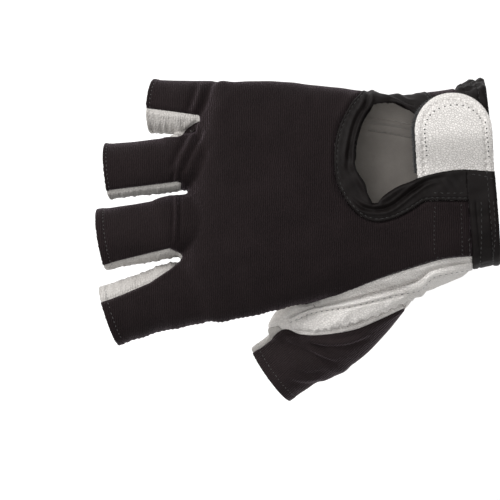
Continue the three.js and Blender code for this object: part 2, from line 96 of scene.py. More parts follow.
# Seams and edges seen from above: along, across
seams = {
    "radial": [(-0.07, -0.357), (0.056, -0.359), (0.132, -0.37), (0.209, -0.407), (0.285, -0.45), (0.361, -0.5),
               (0.438, -0.542), (0.514, -0.571), (0.59, -0.605), (0.64, -0.63)],
    "knuckles": [(0.78, -0.75), (0.791, -0.361), (0.791, -0.08), (0.79, 0.15), (0.746, 0.2), (0.746, 0.5)],
    "ventLower": [(-0.07, 0.0), (0.007, 0.0), (0.074, 0.007), (0.115, 0.002), (0.155, -0.011), (0.196, -0.034),
                  (0.236, -0.058), (0.261, -0.08), (0.283, -0.107), (0.294, -0.13)],
    "ventRound": [(0.306, -0.137), (0.319, -0.094), (0.326, -0.051), (0.346, 0.0), (0.352, 0.045), (0.352, 0.107),
                  (0.346, 0.152), (0.334, 0.205), (0.318, 0.25), (0.303, 0.278)],
    "ventUpper": [(0.261, 0.286), (0.236, 0.27), (0.201, 0.237), (0.16, 0.19), (0.1, 0.165), (-0.07, 0.16)],
    "tapeEdge": [(-0.07, -0.122), (0.069, -0.123), (0.142, -0.122), (0.174, -0.125), (0.196, -0.146),
                 (0.223, -0.173), (0.261, -0.2), (0.3, -0.209), (0.341, -0.183), (0.376, -0.118), (0.399, -0.034),
                 (0.404, 0.071), (0.393, 0.176), (0.36, 0.284), (0.318, 0.352)],
    "tapeBack": [(0.318, 0.43), (0.22, 0.43), (0.15, 0.3), (-0.07, 0.285)],
    "thumbKnit": [(0.68, -0.845), (0.612, -0.765), (0.572, -0.717), (0.532, -0.664), (0.492, -0.682),
                  (0.44, -0.687), (0.353, -0.666), (0.287, -0.625), (0.22, -0.577), (0.17, -0.557)],
    "thumbRound": [(0.1, -0.75), (0.3, -1.2), (0.75, -1.3)],
    "thumbFront": [(0.545, -0.65), (0.372, -0.89), (0.36, -1.15), (0.75, -1.2), (0.72, -0.7)],
    "patchUpper": [(0.519, -0.614), (0.459, -0.573), (0.36, -0.54), (0.287, -0.509), (0.195, -0.459),
                   (0.148, -0.408), (0.04, -0.378)],
    "patchLower": [(0.04, -0.43), (0.104, -0.452), (0.155, -0.489), (0.214, -0.539), (0.287, -0.597),
                   (0.375, -0.647), (0.44, -0.672), (0.506, -0.664)],
    "palmPad": [(0.15, 0.2), (0.13, 0.0), (0.15, -0.22), (0.3, -0.36), (0.48, -0.46), (0.64, -0.54),
                (0.7, -0.46), (0.71, -0.2), (0.71, 0.1), (0.67, 0.26), (0.5, 0.27), (0.3, 0.24), (0.15, 0.2)],
}
fingerKnit = {
    "little": [(0.94, 0.5), (0.94, 0.286), (0.883, 0.27), (0.753, 0.238), (0.7, 0.23), (0.7, 0.5)],
    "ring": [(1.05, 0.148), (0.871, 0.15), (0.799, 0.151), (0.746, 0.214), (0.7, 0.22), (0.7, -0.08),
             (0.78, -0.06), (0.799, -0.046), (0.972, -0.08), (1.05, -0.1)],
    "middle": [(1.05, -0.175), (0.972, -0.14), (0.871, -0.103), (0.794, -0.08), (0.7, -0.06), (0.7, -0.36),
               (0.785, -0.355), (0.82, -0.325), (0.871, -0.345), (0.98, -0.39), (1.05, -0.42)],
    "index": [(1.05, -0.585), (1.0, -0.55), (0.93, -0.505), (0.871, -0.462), (0.817, -0.4), (0.792, -0.361),
              (0.7, -0.36), (0.62, -0.63), (0.64, -0.75), (1.05, -0.9)],
}
gussetPairs = [("little", "ring"), ("ring", "middle"), ("middle", "index")]
hemInsets = {"little": 1.5, "ring": 1.3, "middle": 3.3, "index": 2.9, "thumb": 3.4}
# how far down the side each piece's edge lies, as a share of the depth there
drops = {"back": 0.16, "fingerKnit": 0.12, "gusset": 0.42, "thumbKnit": 0.0, "patch": 0.5, "padTop": -0.2,
         "tape": 0.08}


def smoothRows(rows, ts):
    rows = np.asarray(rows, float)
    last = len(rows) - 1
    k = np.minimum(np.floor(ts * last).astype(int), last - 1)
    u = (ts * last - k)[:, None]
    a, b, c, d = (rows[np.clip(k + j, 0, last)] for j in (-1, 0, 1, 2))
    return b + 0.5 * u * (c - a + u * (2 * a - 5 * b + 4 * c - d + u * (3 * (b - c) + d - a)))


def unit(v):
    return v / np.maximum(np.linalg.norm(v, axis=-1, keepdims=True), 1e-9)


def planRows(rows):
    return np.array(rows)[:, :2] * (-form["gloveLength"], form["palmBreadth"])


def planCurve(name, finer=6):
    rows = planRows(seams[name])
    return smoothRows(rows, np.linspace(0, 1, (len(rows) - 1) * finer + 1))


def digitLine(name, steps):
    rows = np.array(digits[name]) * (-form["gloveLength"], form["palmBreadth"], form["palmThickness"], 1, 1)
    breadth, depth = ("fingerBreadth", "fingerDepth") if name in fingerKnit else ("thumbBreadth", "thumbDepth")
    rows[:, 3:] *= (form[breadth], form[depth])
    found = smoothRows(rows, np.linspace(0, 1, steps))
    return found[:, :3], unit(np.gradient(found[:, :3], axis=0)), found[:, 3], found[:, 4]


def ovalRing(centre, side, up, half, above, below, power, count):
    angle = np.linspace(0, 2 * math.pi, count, endpoint=False)
    across, rise = (np.sign(f) * np.abs(f) ** (2 / power) for f in (np.cos(angle), np.sin(angle)))
    return centre + np.outer(across * half, side) + np.outer(rise * np.where(rise > 0, above, below), up)


def palmSection(t):
    along, ulnar, radial, above, below, slant = smoothRows(palmSections, np.atleast_1d(t))[0]
    centre = np.array([-along * form["gloveLength"], (ulnar + radial) / 2 * form["palmBreadth"], 0])
    half = (ulnar - radial) / 2 * form["palmBreadth"]
    return centre, np.array([slant, 1, 0]), half, above * form["palmThickness"], below * form["palmThickness"]


def loft(rings):
    count, sides = len(rings), len(rings[0])
    points = [*np.concatenate(rings), rings[0].mean(0), rings[-1].mean(0)]
    faces = []
    for i in range(count - 1):
        for k in range(sides):
            a, b = i * sides + k, i * sides + (k + 1) % sides
            faces.append((a, b, b + sides, a + sides))
    tail = (count - 1) * sides
    for k in range(sides):
        faces += [(count * sides, (k + 1) % sides, k), (count * sides + 1, tail + k, tail + (k + 1) % sides)]
    return np.array(points), faces


def palmLoft():
    up = np.array([0, 0, 1])
    rings = []
    for t in [-1, *np.linspace(0, 1, 60)]:
        centre, side, half, above, below = palmSection(max(t, 0))
        if t < 0:
            centre = centre + (form["overrun"], 0, 0)
        rings.append(ovalRing(centre, side, up, half, above, below, form["palmPower"], 140))
    return loft(rings[::-1])


def digitLoft(name):
    line, tangents, halves, rises = digitLine(name, 40)
    rings = []
    for centre, tangent, half, rise in zip(line, tangents, halves, rises):
        side = unit(np.cross((0, 0, 1), tangent))
        rings.append(ovalRing(centre, side, np.cross(tangent, side), half, rise, rise, form["digitPower"], 72))
    if name != "fold":
        rings.append(rings[-1] + tangents[-1] * form["overrun"])
    return loft(rings)


def edgesOf(faces, inverse=False):
    # each edge once, and on request its place in that list for every face's three sides
    sides = np.concatenate([faces[:, [0, 1]], faces[:, [1, 2]], faces[:, [2, 0]]])
    count = faces.max() + 1
    keys = np.unique(sides.min(1) * count + sides.max(1), return_inverse=inverse)
    found = keys[0] if inverse else keys
    edges = np.column_stack([found // count, found % count])
    return (edges, keys[1].ravel()) if inverse else edges


# sheets of triangles
class Sheet:
    # points and normals in millimetres, triangles, and named values at each point
    def __init__(self, points, faces, normals=None, marks=None):
        self.points, self.faces = np.asarray(points, float), np.asarray(faces, int)
        self.marks = dict(marks or {})
        self.normals = self.shaded() if normals is None else normals

    def shaded(self):
        a, b, c = (self.points[self.faces[:, k]] for k in range(3))
        flat = np.cross(b - a, c - a)
        total = np.zeros_like(self.points)
        for k in range(3):
            np.add.at(total, self.faces[:, k], flat)
        return unit(total)

    def taken(self, points, faces, pick):
        marks = {name: pick(values) for name, values in self.marks.items()}
        return Sheet(points, faces, unit(pick(self.normals)), marks)

    # the part where a mark is above a level, or below it, with a clean edge
    def clip(self, mark, below=False, level=0.0, snap=0.22):
        field = (self.marks[mark] - level) * (-1 if below else 1)
        data = np.column_stack([self.points, self.normals, *self.marks.values()])
        edges = edgesOf(self.faces)
        crossing = edges[field[edges[:, 0]] * field[edges[:, 1]] < 0]
        share = field[crossing[:, 0]] / (field[crossing[:, 0]] - field[crossing[:, 1]])
        for end, near in ((0, share < snap), (1, share > 1 - snap)):
            chosen, part = crossing[near], share[near][:, None]
            moved, first = np.unique(chosen[:, end], return_index=True)
            spot = data[chosen[first, 0]] * (1 - part[first]) + data[chosen[first, 1]] * part[first]
            still = field[moved] != 0
            data[moved[still]], field[moved[still]] = spot[still], 0
        crossing = edges[field[edges[:, 0]] * field[edges[:, 1]] < 0]
        share = (field[crossing[:, 0]] / (field[crossing[:, 0]] - field[crossing[:, 1]]))[:, None]
        count = len(data)
        data = np.concatenate([data, data[crossing[:, 0]] * (1 - share) + data[crossing[:, 1]] * share])
        keys = crossing[:, 0] * count + crossing[:, 1]
        order = np.argsort(keys)

        def between(a, b):
            low, high = np.minimum(a, b), np.maximum(a, b)
            found = np.searchsorted(keys[order], low * count + high)
            met = order[np.minimum(found, len(order) - 1)] + count
            return np.where(field[a] == 0, a, np.where(field[b] == 0, b, met))

        signs = np.sign(field)[self.faces]
        whole = (signs >= 0).all(1) & (signs > 0).any(1)
        kept = [self.faces[whole]]
        mixed = (signs > 0).any(1) & (signs < 0).any(1)
        faces, signs = self.faces[mixed], signs[mixed]
        for k in range(3):
            a, b, c = faces[:, k], faces[:, (k + 1) % 3], faces[:, (k + 2) % 3]
            sa, sb, sc = signs[:, k], signs[:, (k + 1) % 3], signs[:, (k + 2) % 3]
            alone = (sa > 0) & (sb <= 0) & (sc <= 0)
            kept.append(np.column_stack([a, between(a, b), between(a, c)])[alone])
            cut = (sa < 0) & (sb >= 0) & (sc >= 0)
            near, far = between(a, b), between(a, c)
            kept.append(np.column_stack([near, b, c])[cut])
            kept.append(np.column_stack([near, c, far])[cut])
        faces = np.concatenate(kept)
        a, b, c = faces.T
        faces = faces[(a != b) & (b != c) & (a != c)]
        used, faces = np.unique(faces, return_inverse=True)
        data = data[used]
        marks = {name: data[:, 6 + i] for i, name in enumerate(self.marks)}
        return Sheet(data[:, :3], faces.reshape(-1, 3), unit(data[:, 3:6]), marks)

    # the largest connected part
    def main(self):
        group = np.arange(len(self.points))
        a, b = np.concatenate([self.faces[:, :2], self.faces[:, 1:]]).T
        while True:
            low = np.minimum(group[a], group[b])
            before = group.copy()
            np.minimum.at(group, a, low)
            np.minimum.at(group, b, low)
            group = group[group]
            if (group == before).all():
                break
        names, sizes = np.unique(group[self.faces[:, 0]], return_counts=True)
        faces = self.faces[group[self.faces[:, 0]] == names[sizes.argmax()]]
        used, faces = np.unique(faces, return_inverse=True)
        return self.taken(self.points[used], faces.reshape(-1, 3), lambda values: values[used])

    # each triangle cut into four
    def finer(self):
        edges, place = edgesOf(self.faces, True)
        ab, bc, ca = np.split(place + len(self.points), 3)
        a, b, c = self.faces.T
        faces = np.concatenate([np.column_stack(f) for f in ((a, ab, ca), (b, bc, ab), (c, ca, bc), (ab, bc, ca))])
        pick = lambda values: np.concatenate([values, values[edges].mean(1)])
        return self.taken(pick(self.points), faces, pick)

    def border(self):
        sides = np.concatenate([self.faces[:, [0, 1]], self.faces[:, [1, 2]], self.faces[:, [2, 0]]])
        count = len(self.points)
        return sides[~np.isin(sides[:, 0] * count + sides[:, 1], sides[:, 1] * count + sides[:, 0])]

    # distance from each point to the border's points where chosen, or far everywhere when none is chosen
    def fromBorder(self, chosen=None, far=99.0):
        rim = np.unique(self.border())
        if chosen is not None:
            rim = rim[chosen[rim]]
        if not len(rim):
            return np.full(len(self.points), far)
        tree = kdtree.KDTree(len(rim))
        for i, place in enumerate(self.points[rim]):
            tree.insert(place, i)
        tree.balance()
        return np.array([tree.find(place)[2] for place in self.points])

    # values at each point, averaged with the neighbours' a number of times
    def spread(self, values, rounds, share=1.0, hold=None):
        sides = edgesOf(self.faces)
        a, b = np.concatenate([sides, sides[:, ::-1]]).T
        values = np.array(values, float).reshape(len(self.points), -1)
        count = np.bincount(a, minlength=len(values))[:, None]
        weight = share if hold is None else share * hold[:, None]
        for _ in range(rounds):
            total = [np.bincount(a, column[b], minlength=len(values)) for column in values.T]
            values += (np.column_stack(total) / count - values) * weight
        return values

    def relaxed(self, rounds, share, hold=None):
        return Sheet(self.spread(self.points, rounds, share, hold), self.faces, None, self.marks)

    # drawn straight over its hollows, as leather is over a crease, and left alone where it stands out
    def bridged(self, rounds, share, hold):
        shift = self.relaxed(rounds, share, hold).points - self.points
        part = self.spread(np.clip((shift * self.normals).sum(1) / 0.3, 0, 1), 6)
        return Sheet(self.points + shift * part, self.faces, None, self.marks)

    # its cut edge drawn even
    def trimmed(self, rounds):
        rim = self.border()
        a, b = np.concatenate([rim, rim[:, ::-1]]).T
        points, ends = self.points.copy(), np.unique(rim)
        count = np.bincount(a, minlength=len(points))[ends, None]
        for _ in range(rounds):
            total = np.zeros_like(points)
            np.add.at(total, a, points[b])
            points[ends] = (points[ends] + total[ends] / count) / 2
        return Sheet(points, self.faces, None, self.marks)

    # the lines where a field crosses a level, each as its places and normals
    def levelLines(self, field, level, shortest=6):
        gap = np.where(field == level, 1e-9, field - level)
        over = gap[self.faces] > 0
        links, spots = {}, {}
        for face in self.faces[over.any(1) & ~over.all(1)].tolist():
            ends = []
            for a, b in ((face[0], face[1]), (face[1], face[2]), (face[2], face[0])):
                if (gap[a] > 0) == (gap[b] > 0):
                    continue
                key = (min(a, b), max(a, b))
                share = gap[a] / (gap[a] - gap[b])
                spots[key] = (self.points[a] * (1 - share) + self.points[b] * share, self.normals[a])
                ends.append(key)
            for one, other in (ends, ends[::-1]):
                links.setdefault(one, []).append(other)
        left = set(links)
        lines = []
        for start in [key for key in links if len(links[key]) == 1] + list(links):
            chain = []
            while start in left:
                left.remove(start)
                chain.append(start)
                start = next((key for key in links[start] if key in left), None)
            if len(chain) > shortest:
                lines.append(tuple(np.array(part) for part in zip(*(spots[key] for key in chain))))
        return lines


def planDistance(points, outline):
    # signed distance in plan to a closed outline, above zero inside
    best = np.full(len(points), np.inf)
    inside = np.zeros(len(points), bool)
    x, y = points[:, 0], points[:, 1]
    for (ax, ay), (bx, by) in zip(outline, np.roll(outline, -1, 0)):
        dx, dy = bx - ax, by - ay
        share = np.clip(((x - ax) * dx + (y - ay) * dy) / max(dx * dx + dy * dy, 1e-9), 0, 1)
        best = np.minimum(best, np.hypot(x - ax - share * dx, y - ay - share * dy))
        if ay != by:
            inside ^= ((ay > y) != (by > y)) & (x < (bx - ax) * (y - ay) / (by - ay) + ax)
    return np.where(inside, best, -best)


def lineDistance(points, line):
    # distance to an open line, in as many dimensions as the line has, and the share of the way down it
    size = line.shape[1]
    best, way = np.full(len(points), np.inf), np.zeros(len(points))
    for i, (a, b) in enumerate(zip(line[:-1], line[1:])):
        step = b - a
        share = np.clip(((points[:, :size] - a) @ step) / max(step @ step, 1e-9), 0, 1)
        away = np.linalg.norm(points[:, :size] - a - share[:, None] * step, axis=1)
        near = away < best
        best[near], way[near] = away[near], (i + share[near]) / (len(line) - 1)
    return best, way


def underLine(points, name, drop):
    line = digitLine(name, 24)[0]
    _, way = lineDistance(points, line[:, :2])
    return np.interp(way, np.linspace(0, 1, len(line)), line[:, 2]) - drop


print("skin")
tubes = [palmLoft(), *(digitLoft(name) for name in digits)]
points, faces, start = [], [], 0
for tubePoints, tubeFaces in tubes:
    points.append(tubePoints)
    faces += [tuple(start + i for i in face) for face in tubeFaces]
    start += len(tubePoints)
blank = bpy.data.meshes.new("blank")
blank.from_pydata(np.concatenate(points).tolist(), [], faces)
blankObject = bpy.data.objects.new("blank", blank)
bpy.context.scene.collection.objects.link(blankObject)
remesh = blankObject.modifiers.new("remesh", "REMESH")
remesh.mode, remesh.voxel_size, remesh.adaptivity = "VOXEL", form["voxel"], 0
solid = blankObject.evaluated_get(bpy.context.evaluated_depsgraph_get()).to_mesh()
solid.calc_loop_triangles()
points = np.empty(len(solid.vertices) * 3)
solid.vertices.foreach_get("co", points)
faces = np.empty(len(solid.loop_triangles) * 3, int)
solid.loop_triangles.foreach_get("vertices", faces)
bpy.data.objects.remove(blankObject)
bpy.data.meshes.remove(blank)
skin = Sheet(points.reshape(-1, 3), faces.reshape(-1, 3))
print("skin", len(skin.points))
# in and out by turns, so that it evens out and keeps its size
smoothing = {"inOut": (0.5, -0.52), "rounds": 6, "hollow": 0.012, "creaseRounds": 5, "creaseGain": 2.5,
             "softRounds": 4, "soft": 0.5}
for share in smoothing["inOut"] * smoothing["rounds"]:
    skin = skin.relaxed(1, share)
# the creases where tubes meet are drawn over softly, as cloth does
hollow = ((skin.relaxed(1, 1.0).points - skin.points) * skin.normals).sum(1) > smoothing["hollow"]
crease = np.clip(skin.spread(hollow, smoothing["creaseRounds"])[:, 0] * smoothing["creaseGain"], 0, 1)
skin = skin.relaxed(smoothing["softRounds"], smoothing["soft"], crease)

# marks: each is above zero inside its region
at = skin.points
marks = skin.marks
height = at[:, 2]
around = {name: digitLine(name, 30) for name in digits if name != "fold"}
nearest, hem = np.full(len(at), np.inf), np.full(len(at), form["hemReach"])
marks["hemInset"] = np.full(len(at), form["hemInset"])
for name, (line, tangents, halves, rises) in around.items():
    away, way = lineDistance(at, line)
    over = away - np.interp(way, np.linspace(0, 1, len(line)), np.maximum(halves, rises))
    closer = (over < nearest) & (over < form["digitReach"])
    nearest[closer] = over[closer]
    hem[closer] = ((line[-1] - at) @ tangents[-1])[closer]
    marks["hemInset"][closer] = hemInsets[name]
marks["hem"] = hem
mouth = palmSection(0)
marks["mouth"] = mouth[1][0] * (at[:, 1] - mouth[0][1]) - at[:, 0]
marks["wrist"] = form["wristTape"] - marks["mouth"]
hand = np.concatenate([planCurve("radial"), planRows(seams["knuckles"]), [(8, 70)]])
regions = [np.minimum(planDistance(at, hand), height + drops["back"] * form["palmThickness"])]
for name, rows in fingerKnit.items():
    low = underLine(at, name, drops["fingerKnit"] * form["fingerDepth"])
    regions.append(np.minimum(planDistance(at, planRows(rows)), height - low))
marks["back"] = np.maximum.reduce(regions)
thumbOutline = np.concatenate([planCurve("thumbKnit"), planRows(seams["thumbRound"])])
marks["thumbKnit"] = np.minimum(planDistance(at, thumbOutline),
                                height - underLine(at, "thumb", drops["thumbKnit"] * form["thumbDepth"]))
marks["thumbFront"] = planDistance(at, planRows(seams["thumbFront"]))
for pair in gussetPairs:
    lines = [digitLine(name, 12)[0] for name in pair]
    outward = [line[-1] + unit(line[-1] - line[-4]) * 8 for line in lines]
    outline = np.array([lines[0][0], outward[0], outward[1], lines[1][0]])[:, :2]
    sheet = np.maximum(*(underLine(at, name, drops["gusset"] * form["fingerDepth"]) for name in pair))
    marks["_".join(pair)] = np.minimum(planDistance(at, outline), height - sheet)
ventOutline = np.concatenate([planCurve(name) for name in ("ventLower", "ventRound", "ventUpper")])
tapeOutline = np.concatenate([planCurve("tapeEdge"), planRows(seams["tapeBack"])])
patchOutline = np.concatenate([planCurve("patchUpper"), planCurve("patchLower")])
marks["vent"] = np.minimum(planDistance(at, ventOutline), height)
marks["tape"] = np.minimum(planDistance(at, tapeOutline), height - drops["tape"] * form["palmThickness"])
marks["patch"] = np.minimum(planDistance(at, patchOutline), height + drops["patch"] * form["palmThickness"])
marks["pad"] = np.minimum(planDistance(at, planCurve("palmPad")), drops["padTop"] * form["palmThickness"] - height)

skin = skin.clip("hem").clip("mouth")
print("skin cut open", len(skin.points))


# materials
class Shade:
    # a socket in a material's tree, which takes part in sums
    def __init__(self, tree, socket=None):
        self.tree, self.socket = tree, socket

    def node(self, kind, settings=(), inputs=(), output=0):
        made = self.tree.nodes.new(kind)
        for name, value in dict(settings).items():
            setattr(made, name, value)
        for name, value in dict(inputs).items():
            if isinstance(value, Shade):
                self.tree.links.new(value.socket, made.inputs[name])
            else:
                made.inputs[name].default_value = value
        return Shade(self.tree, made.outputs[output])

    def sum(self, operation, *values):
        return self.node("ShaderNodeMath", {"operation": operation}, enumerate(values))

    def sine(self):
        return self.sum("SINE", self)

    def part(self, axis):
        return self.node("ShaderNodeSeparateXYZ", (), {"Vector": self}, axis)

    def __add__(self, other):
        return self.sum("ADD", self, other)

    def __sub__(self, other):
        return self.sum("SUBTRACT", self, other)

    def __rsub__(self, other):
        return self.sum("SUBTRACT", other, self)

    def __mul__(self, other):
        return self.sum("MULTIPLY", self, other)

    __radd__, __rmul__ = __add__, __mul__

    def mapped(self, low, high):
        return self.node("ShaderNodeMapRange", {"interpolation_type": "SMOOTHSTEP"}, {0: self, 1: low, 2: high})

    def blended(self, first, second):
        return self.node("ShaderNodeMix", {"data_type": "RGBA"}, {0: self, 6: first, 7: second}, 2)

    # places on the piece in millimetres, stretched and turned
    def places(self, stretch=(1, 1, 1), turn=0.0):
        found = self.node("ShaderNodeTexCoord", output="Object")
        size = [s / mm for s in stretch]
        settings = {"vector_type": "POINT"}
        turned = self.node("ShaderNodeMapping", settings, {"Vector": found, "Rotation": (0, 0, turn)})
        return self.node("ShaderNodeVectorMath", {"operation": "MULTIPLY"}, {0: turned, 1: size})

    def noise(self, places, scale, detail=2.0, roughness=0.5):
        return self.node("ShaderNodeTexNoise", (),
                         {"Vector": places, "Scale": scale, "Detail": detail, "Roughness": roughness})

    def cells(self, places, scale, feature="F1", randomness=1.0):
        return self.node("ShaderNodeTexVoronoi", {"feature": feature},
                         {"Vector": places, "Scale": scale, "Randomness": randomness})


def tone(red, green, blue):
    # a linear colour from the 8-bit levels that a screen shows
    return (*[(max(level / 255 + 0.055, 0.06) / 1.055) ** 2.4 for level in (red, green, blue)], 1.0)


def grey(level, warm=0.0):
    return tone(level + warm, level, level - warm)


def newMaterial(name, sheen=0.0, sheenRoughness=0.5, specular=0.5):
    made = bpy.data.materials.new(name)
    made.use_nodes = True
    shader = made.node_tree.nodes["Principled BSDF"]
    shader.inputs["Sheen Weight"].default_value = sheen
    shader.inputs["Sheen Roughness"].default_value = sheenRoughness
    shader.inputs["Specular IOR Level"].default_value = specular
    return made, shader, Shade(made.node_tree)


def finished(made, shader, tree, colour, roughness, height, depth):
    bump = tree.node("ShaderNodeBump", (), {"Height": height, "Distance": depth * mm, "Strength": 1.0})
    for name, value in (("Base Color", colour), ("Roughness", roughness), ("Normal", bump)):
        tree.tree.links.new(value.socket, shader.inputs[name])
    return made


knitLook = {"dark": (8, 3, 4), "light": (42, 34, 35), "rib": 0.78, "loop": 1.35, "depth": 0.28, "sheen": 0.24}


def knit(name, turn=0.0, paintedLight=0):
    made, shader, tree = newMaterial(name, knitLook["sheen"], 0.32, 0.12)
    shader.inputs["Sheen Tint"].default_value = tone(208, 188, 200)
    places = tree.places(turn=turn)
    wander = tree.noise(tree.places(), 0.35, 2)
    ribs = (places.part("X") * (2 * math.pi / knitLook["rib"]) + wander * 8).sine() * 0.5 + 0.5
    loops = tree.cells(tree.places((1.3, 0.8, 0.9), turn), knitLook["loop"], randomness=0.8)
    fuzz = tree.noise(places, 1.9, 4, 0.75)
    patches = tree.noise(tree.places(), 0.06, 3, 0.55)
    height = ribs * 0.6 + (1 - loops) * 0.4 + fuzz * 0.8
    level = ribs * 0.4 + (1 - loops) * 0.16 + patches.mapped(0.3, 0.7) * 0.14 + fuzz.mapped(0.35, 0.75) * 0.4
    # painted light: both ends of the colour are raised by the given number of levels
    colour = level.blended(*(tone(*(value + paintedLight for value in knitLook[end])) for end in ("dark", "light")))
    return finished(made, shader, tree, colour, 0.8 + fuzz * 0.2, height, knitLook["depth"])


# Pebbles are the grain, and gathers are fine creases side by side, a pitch apart and turned by an angle.
# upTo gives the heights between which the gathers fade in.
def leather(name, light, dark, depth, pebble=0.9, gathers=0.0, gatherTurn=0.0, pitch=0.95, stain=0.35, upTo=None):
    made, shader, tree = newMaterial(name, 0.06, 0.4, 0.2)
    places = tree.places()
    grain = tree.cells(tree.places((0.9, 1.1, 1.0)), pebble, "DISTANCE_TO_EDGE", 1.0).mapped(0.0, 0.16)
    fine = tree.noise(places, 2.4, 4, 0.65)
    stains = tree.noise(places, 0.09, 4, 0.6)
    height = grain * 0.7 + fine * 0.4
    level = stains.mapped(0.32, 0.68) * stain + grain * 0.45 + fine * (0.55 - stain)
    if gathers:
        lean = tree.places(turn=gatherTurn)
        lines = (lean.part("X") * (2 * math.pi / pitch) + tree.noise(lean, 0.33, 3) * 13).sine() * 0.5 + 0.5
        where = tree.noise(places, 0.16, 2).mapped(0.3, 0.6)
        if upTo:
            where = places.part("Z").mapped(*upTo)
        height = height + lines * where * gathers
        # painted shade: the colour darkens where the gathers lie, most in their grooves, and lightens on their
        # ridges
        level = level * (1 - where * 0.15) + lines * where * 0.15
    colour = level.blended(grey(dark, 4), grey(light, 4))
    return finished(made, shader, tree, colour, 0.46 + fine * 0.2 - grain * 0.08, height, depth)


def suede(name, level=150):
    made, shader, tree = newMaterial(name, 0.25, 0.6, 0.2)
    places = tree.places()
    nap = tree.noise(places, 2.8, 5, 0.75)
    stains = tree.noise(places, 0.12, 3, 0.5)
    colour = (nap * 0.5 + stains * 0.5).blended(grey(level - 35, 6), grey(level + 20, 6))
    return finished(made, shader, tree, colour, 0.86 + nap * 0.12, nap, 0.15)


def tapeCloth(name):
    made, shader, tree = newMaterial(name, 0.05, 0.3, 0.16)
    shader.inputs["Sheen Tint"].default_value = tone(205, 190, 200)
    weave = tree.cells(tree.places((1.0, 1.0, 1.0), 0.6), 2.4, randomness=0.25)
    fuzz = tree.noise(tree.places(), 2.4, 3, 0.6)
    patches = tree.noise(tree.places(), 0.2, 2, 0.5)
    colour = (patches * 0.5 + fuzz * 0.5).blended(tone(4, 1, 1), tone(21, 15, 14))
    return finished(made, shader, tree, colour, 0.5 + fuzz * 0.25, (1 - weave) * 0.7 + fuzz * 0.5, 0.09)


def fleece(name):
    made, shader, tree = newMaterial(name, 0.3, 0.6, 0.2)
    loops = tree.cells(tree.places(), 1.6)
    fuzz = tree.noise(tree.places(), 3.0, 4, 0.75)
    colour = fuzz.blended(grey(14), grey(34))
    return finished(made, shader, tree, colour, 0.85 + fuzz * 0.14, (1 - loops) + fuzz * 0.6, 0.5)


def thread(name, level):
    made, shader, tree = newMaterial(name, 0.2, 0.4, 0.4)
    twist = tree.node("ShaderNodeTexWave", {"bands_direction": "DIAGONAL"},
                      {"Vector": tree.places(), "Scale": 1.6, "Distortion": 1.0})
    colour = twist.blended(grey(level * 0.75, 1), grey(level, 1))
    return finished(made, shader, tree, colour, 0.5 + twist * 0.2, twist, 0.08)


looks = {
    "knit": knit("knitOnHand"),
    # painted light: the thumb takes the same knit made 10 levels lighter, for the light that falls on it
    "thumbKnit": knit("knitOnThumbPaintedLight", 0.83, 10),
    "palm": leather("palmLeather", 228, 194, depth=0.2, gathers=1.3, gatherTurn=-0.85, upTo=(-7.0, -2.0)),
    # painted shade: the gussets and the thumb's front take a grey copy of the white leather, for the shade on sides
    # that face away from the light
    "gusset": leather("gussetLeatherPaintedShade", 190, 166, depth=0.18, gathers=0.9, pitch=1.05, stain=0.25),
    "pad": leather("padLeather", 240, 202, pebble=1.05, depth=0.34, stain=0.1),
    "tab": leather("tabLeather", 238, 206, pebble=1.0, depth=0.34, stain=0.1),
    "inside": suede("leatherInside"),
    "knitInside": suede("knitInside", 62),
    "tape": tapeCloth("edgeTape"),
    "fastener": fleece("fastenerPile"),
    "hemThread": thread("hemThread", 70),
    "blackThread": thread("blackThread", 35),
    "greyThread": thread("greyThread", 170),
    # painted shade: a near-black thread that stands for the shade inside needle holes
    "needleHoleShade": thread("needleHoleShade", 16),
}


# pieces
def wave(points, stretch, seed, count=9):
    # a smooth wandering field in [-1, 1] about, the same on every run
    chance = np.random.default_rng(seed)
    total = np.zeros(len(points))
    for _ in range(count):
        way = chance.normal(size=3) * stretch
        total += np.sin(points @ way + chance.uniform(0, 2 * math.pi))
    return total / math.sqrt(count)


def bell(distance, width):
    return np.exp(-(distance / width) ** 2)


def addMesh(name, points, faces, materials, kinds, nodes=()):
    mesh = bpy.data.meshes.new(name)
    mesh.from_pydata((np.asarray(points) * mm).tolist(), [], faces)
    for material in materials:
        mesh.materials.append(material)
    mesh.polygons.foreach_set("material_index", kinds)
    mesh.polygons.foreach_set("use_smooth", [True] * len(mesh.polygons))
    mesh.update()
    piece = bpy.data.objects.new(name, mesh)
    bpy.context.scene.collection.objects.link(piece)
    if len(faces) > form["many"]:
        # a big mesh gives up triangles where it is flattest
        fewer = piece.modifiers.new("fewer", "DECIMATE")
        fewer.ratio = form["kept"]
        piece.data = bpy.data.meshes.new_from_object(piece.evaluated_get(bpy.context.evaluated_depsgraph_get()))
        piece.modifiers.clear()
    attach(piece, body)
    if nodes:
        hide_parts(*nodes)
    return piece


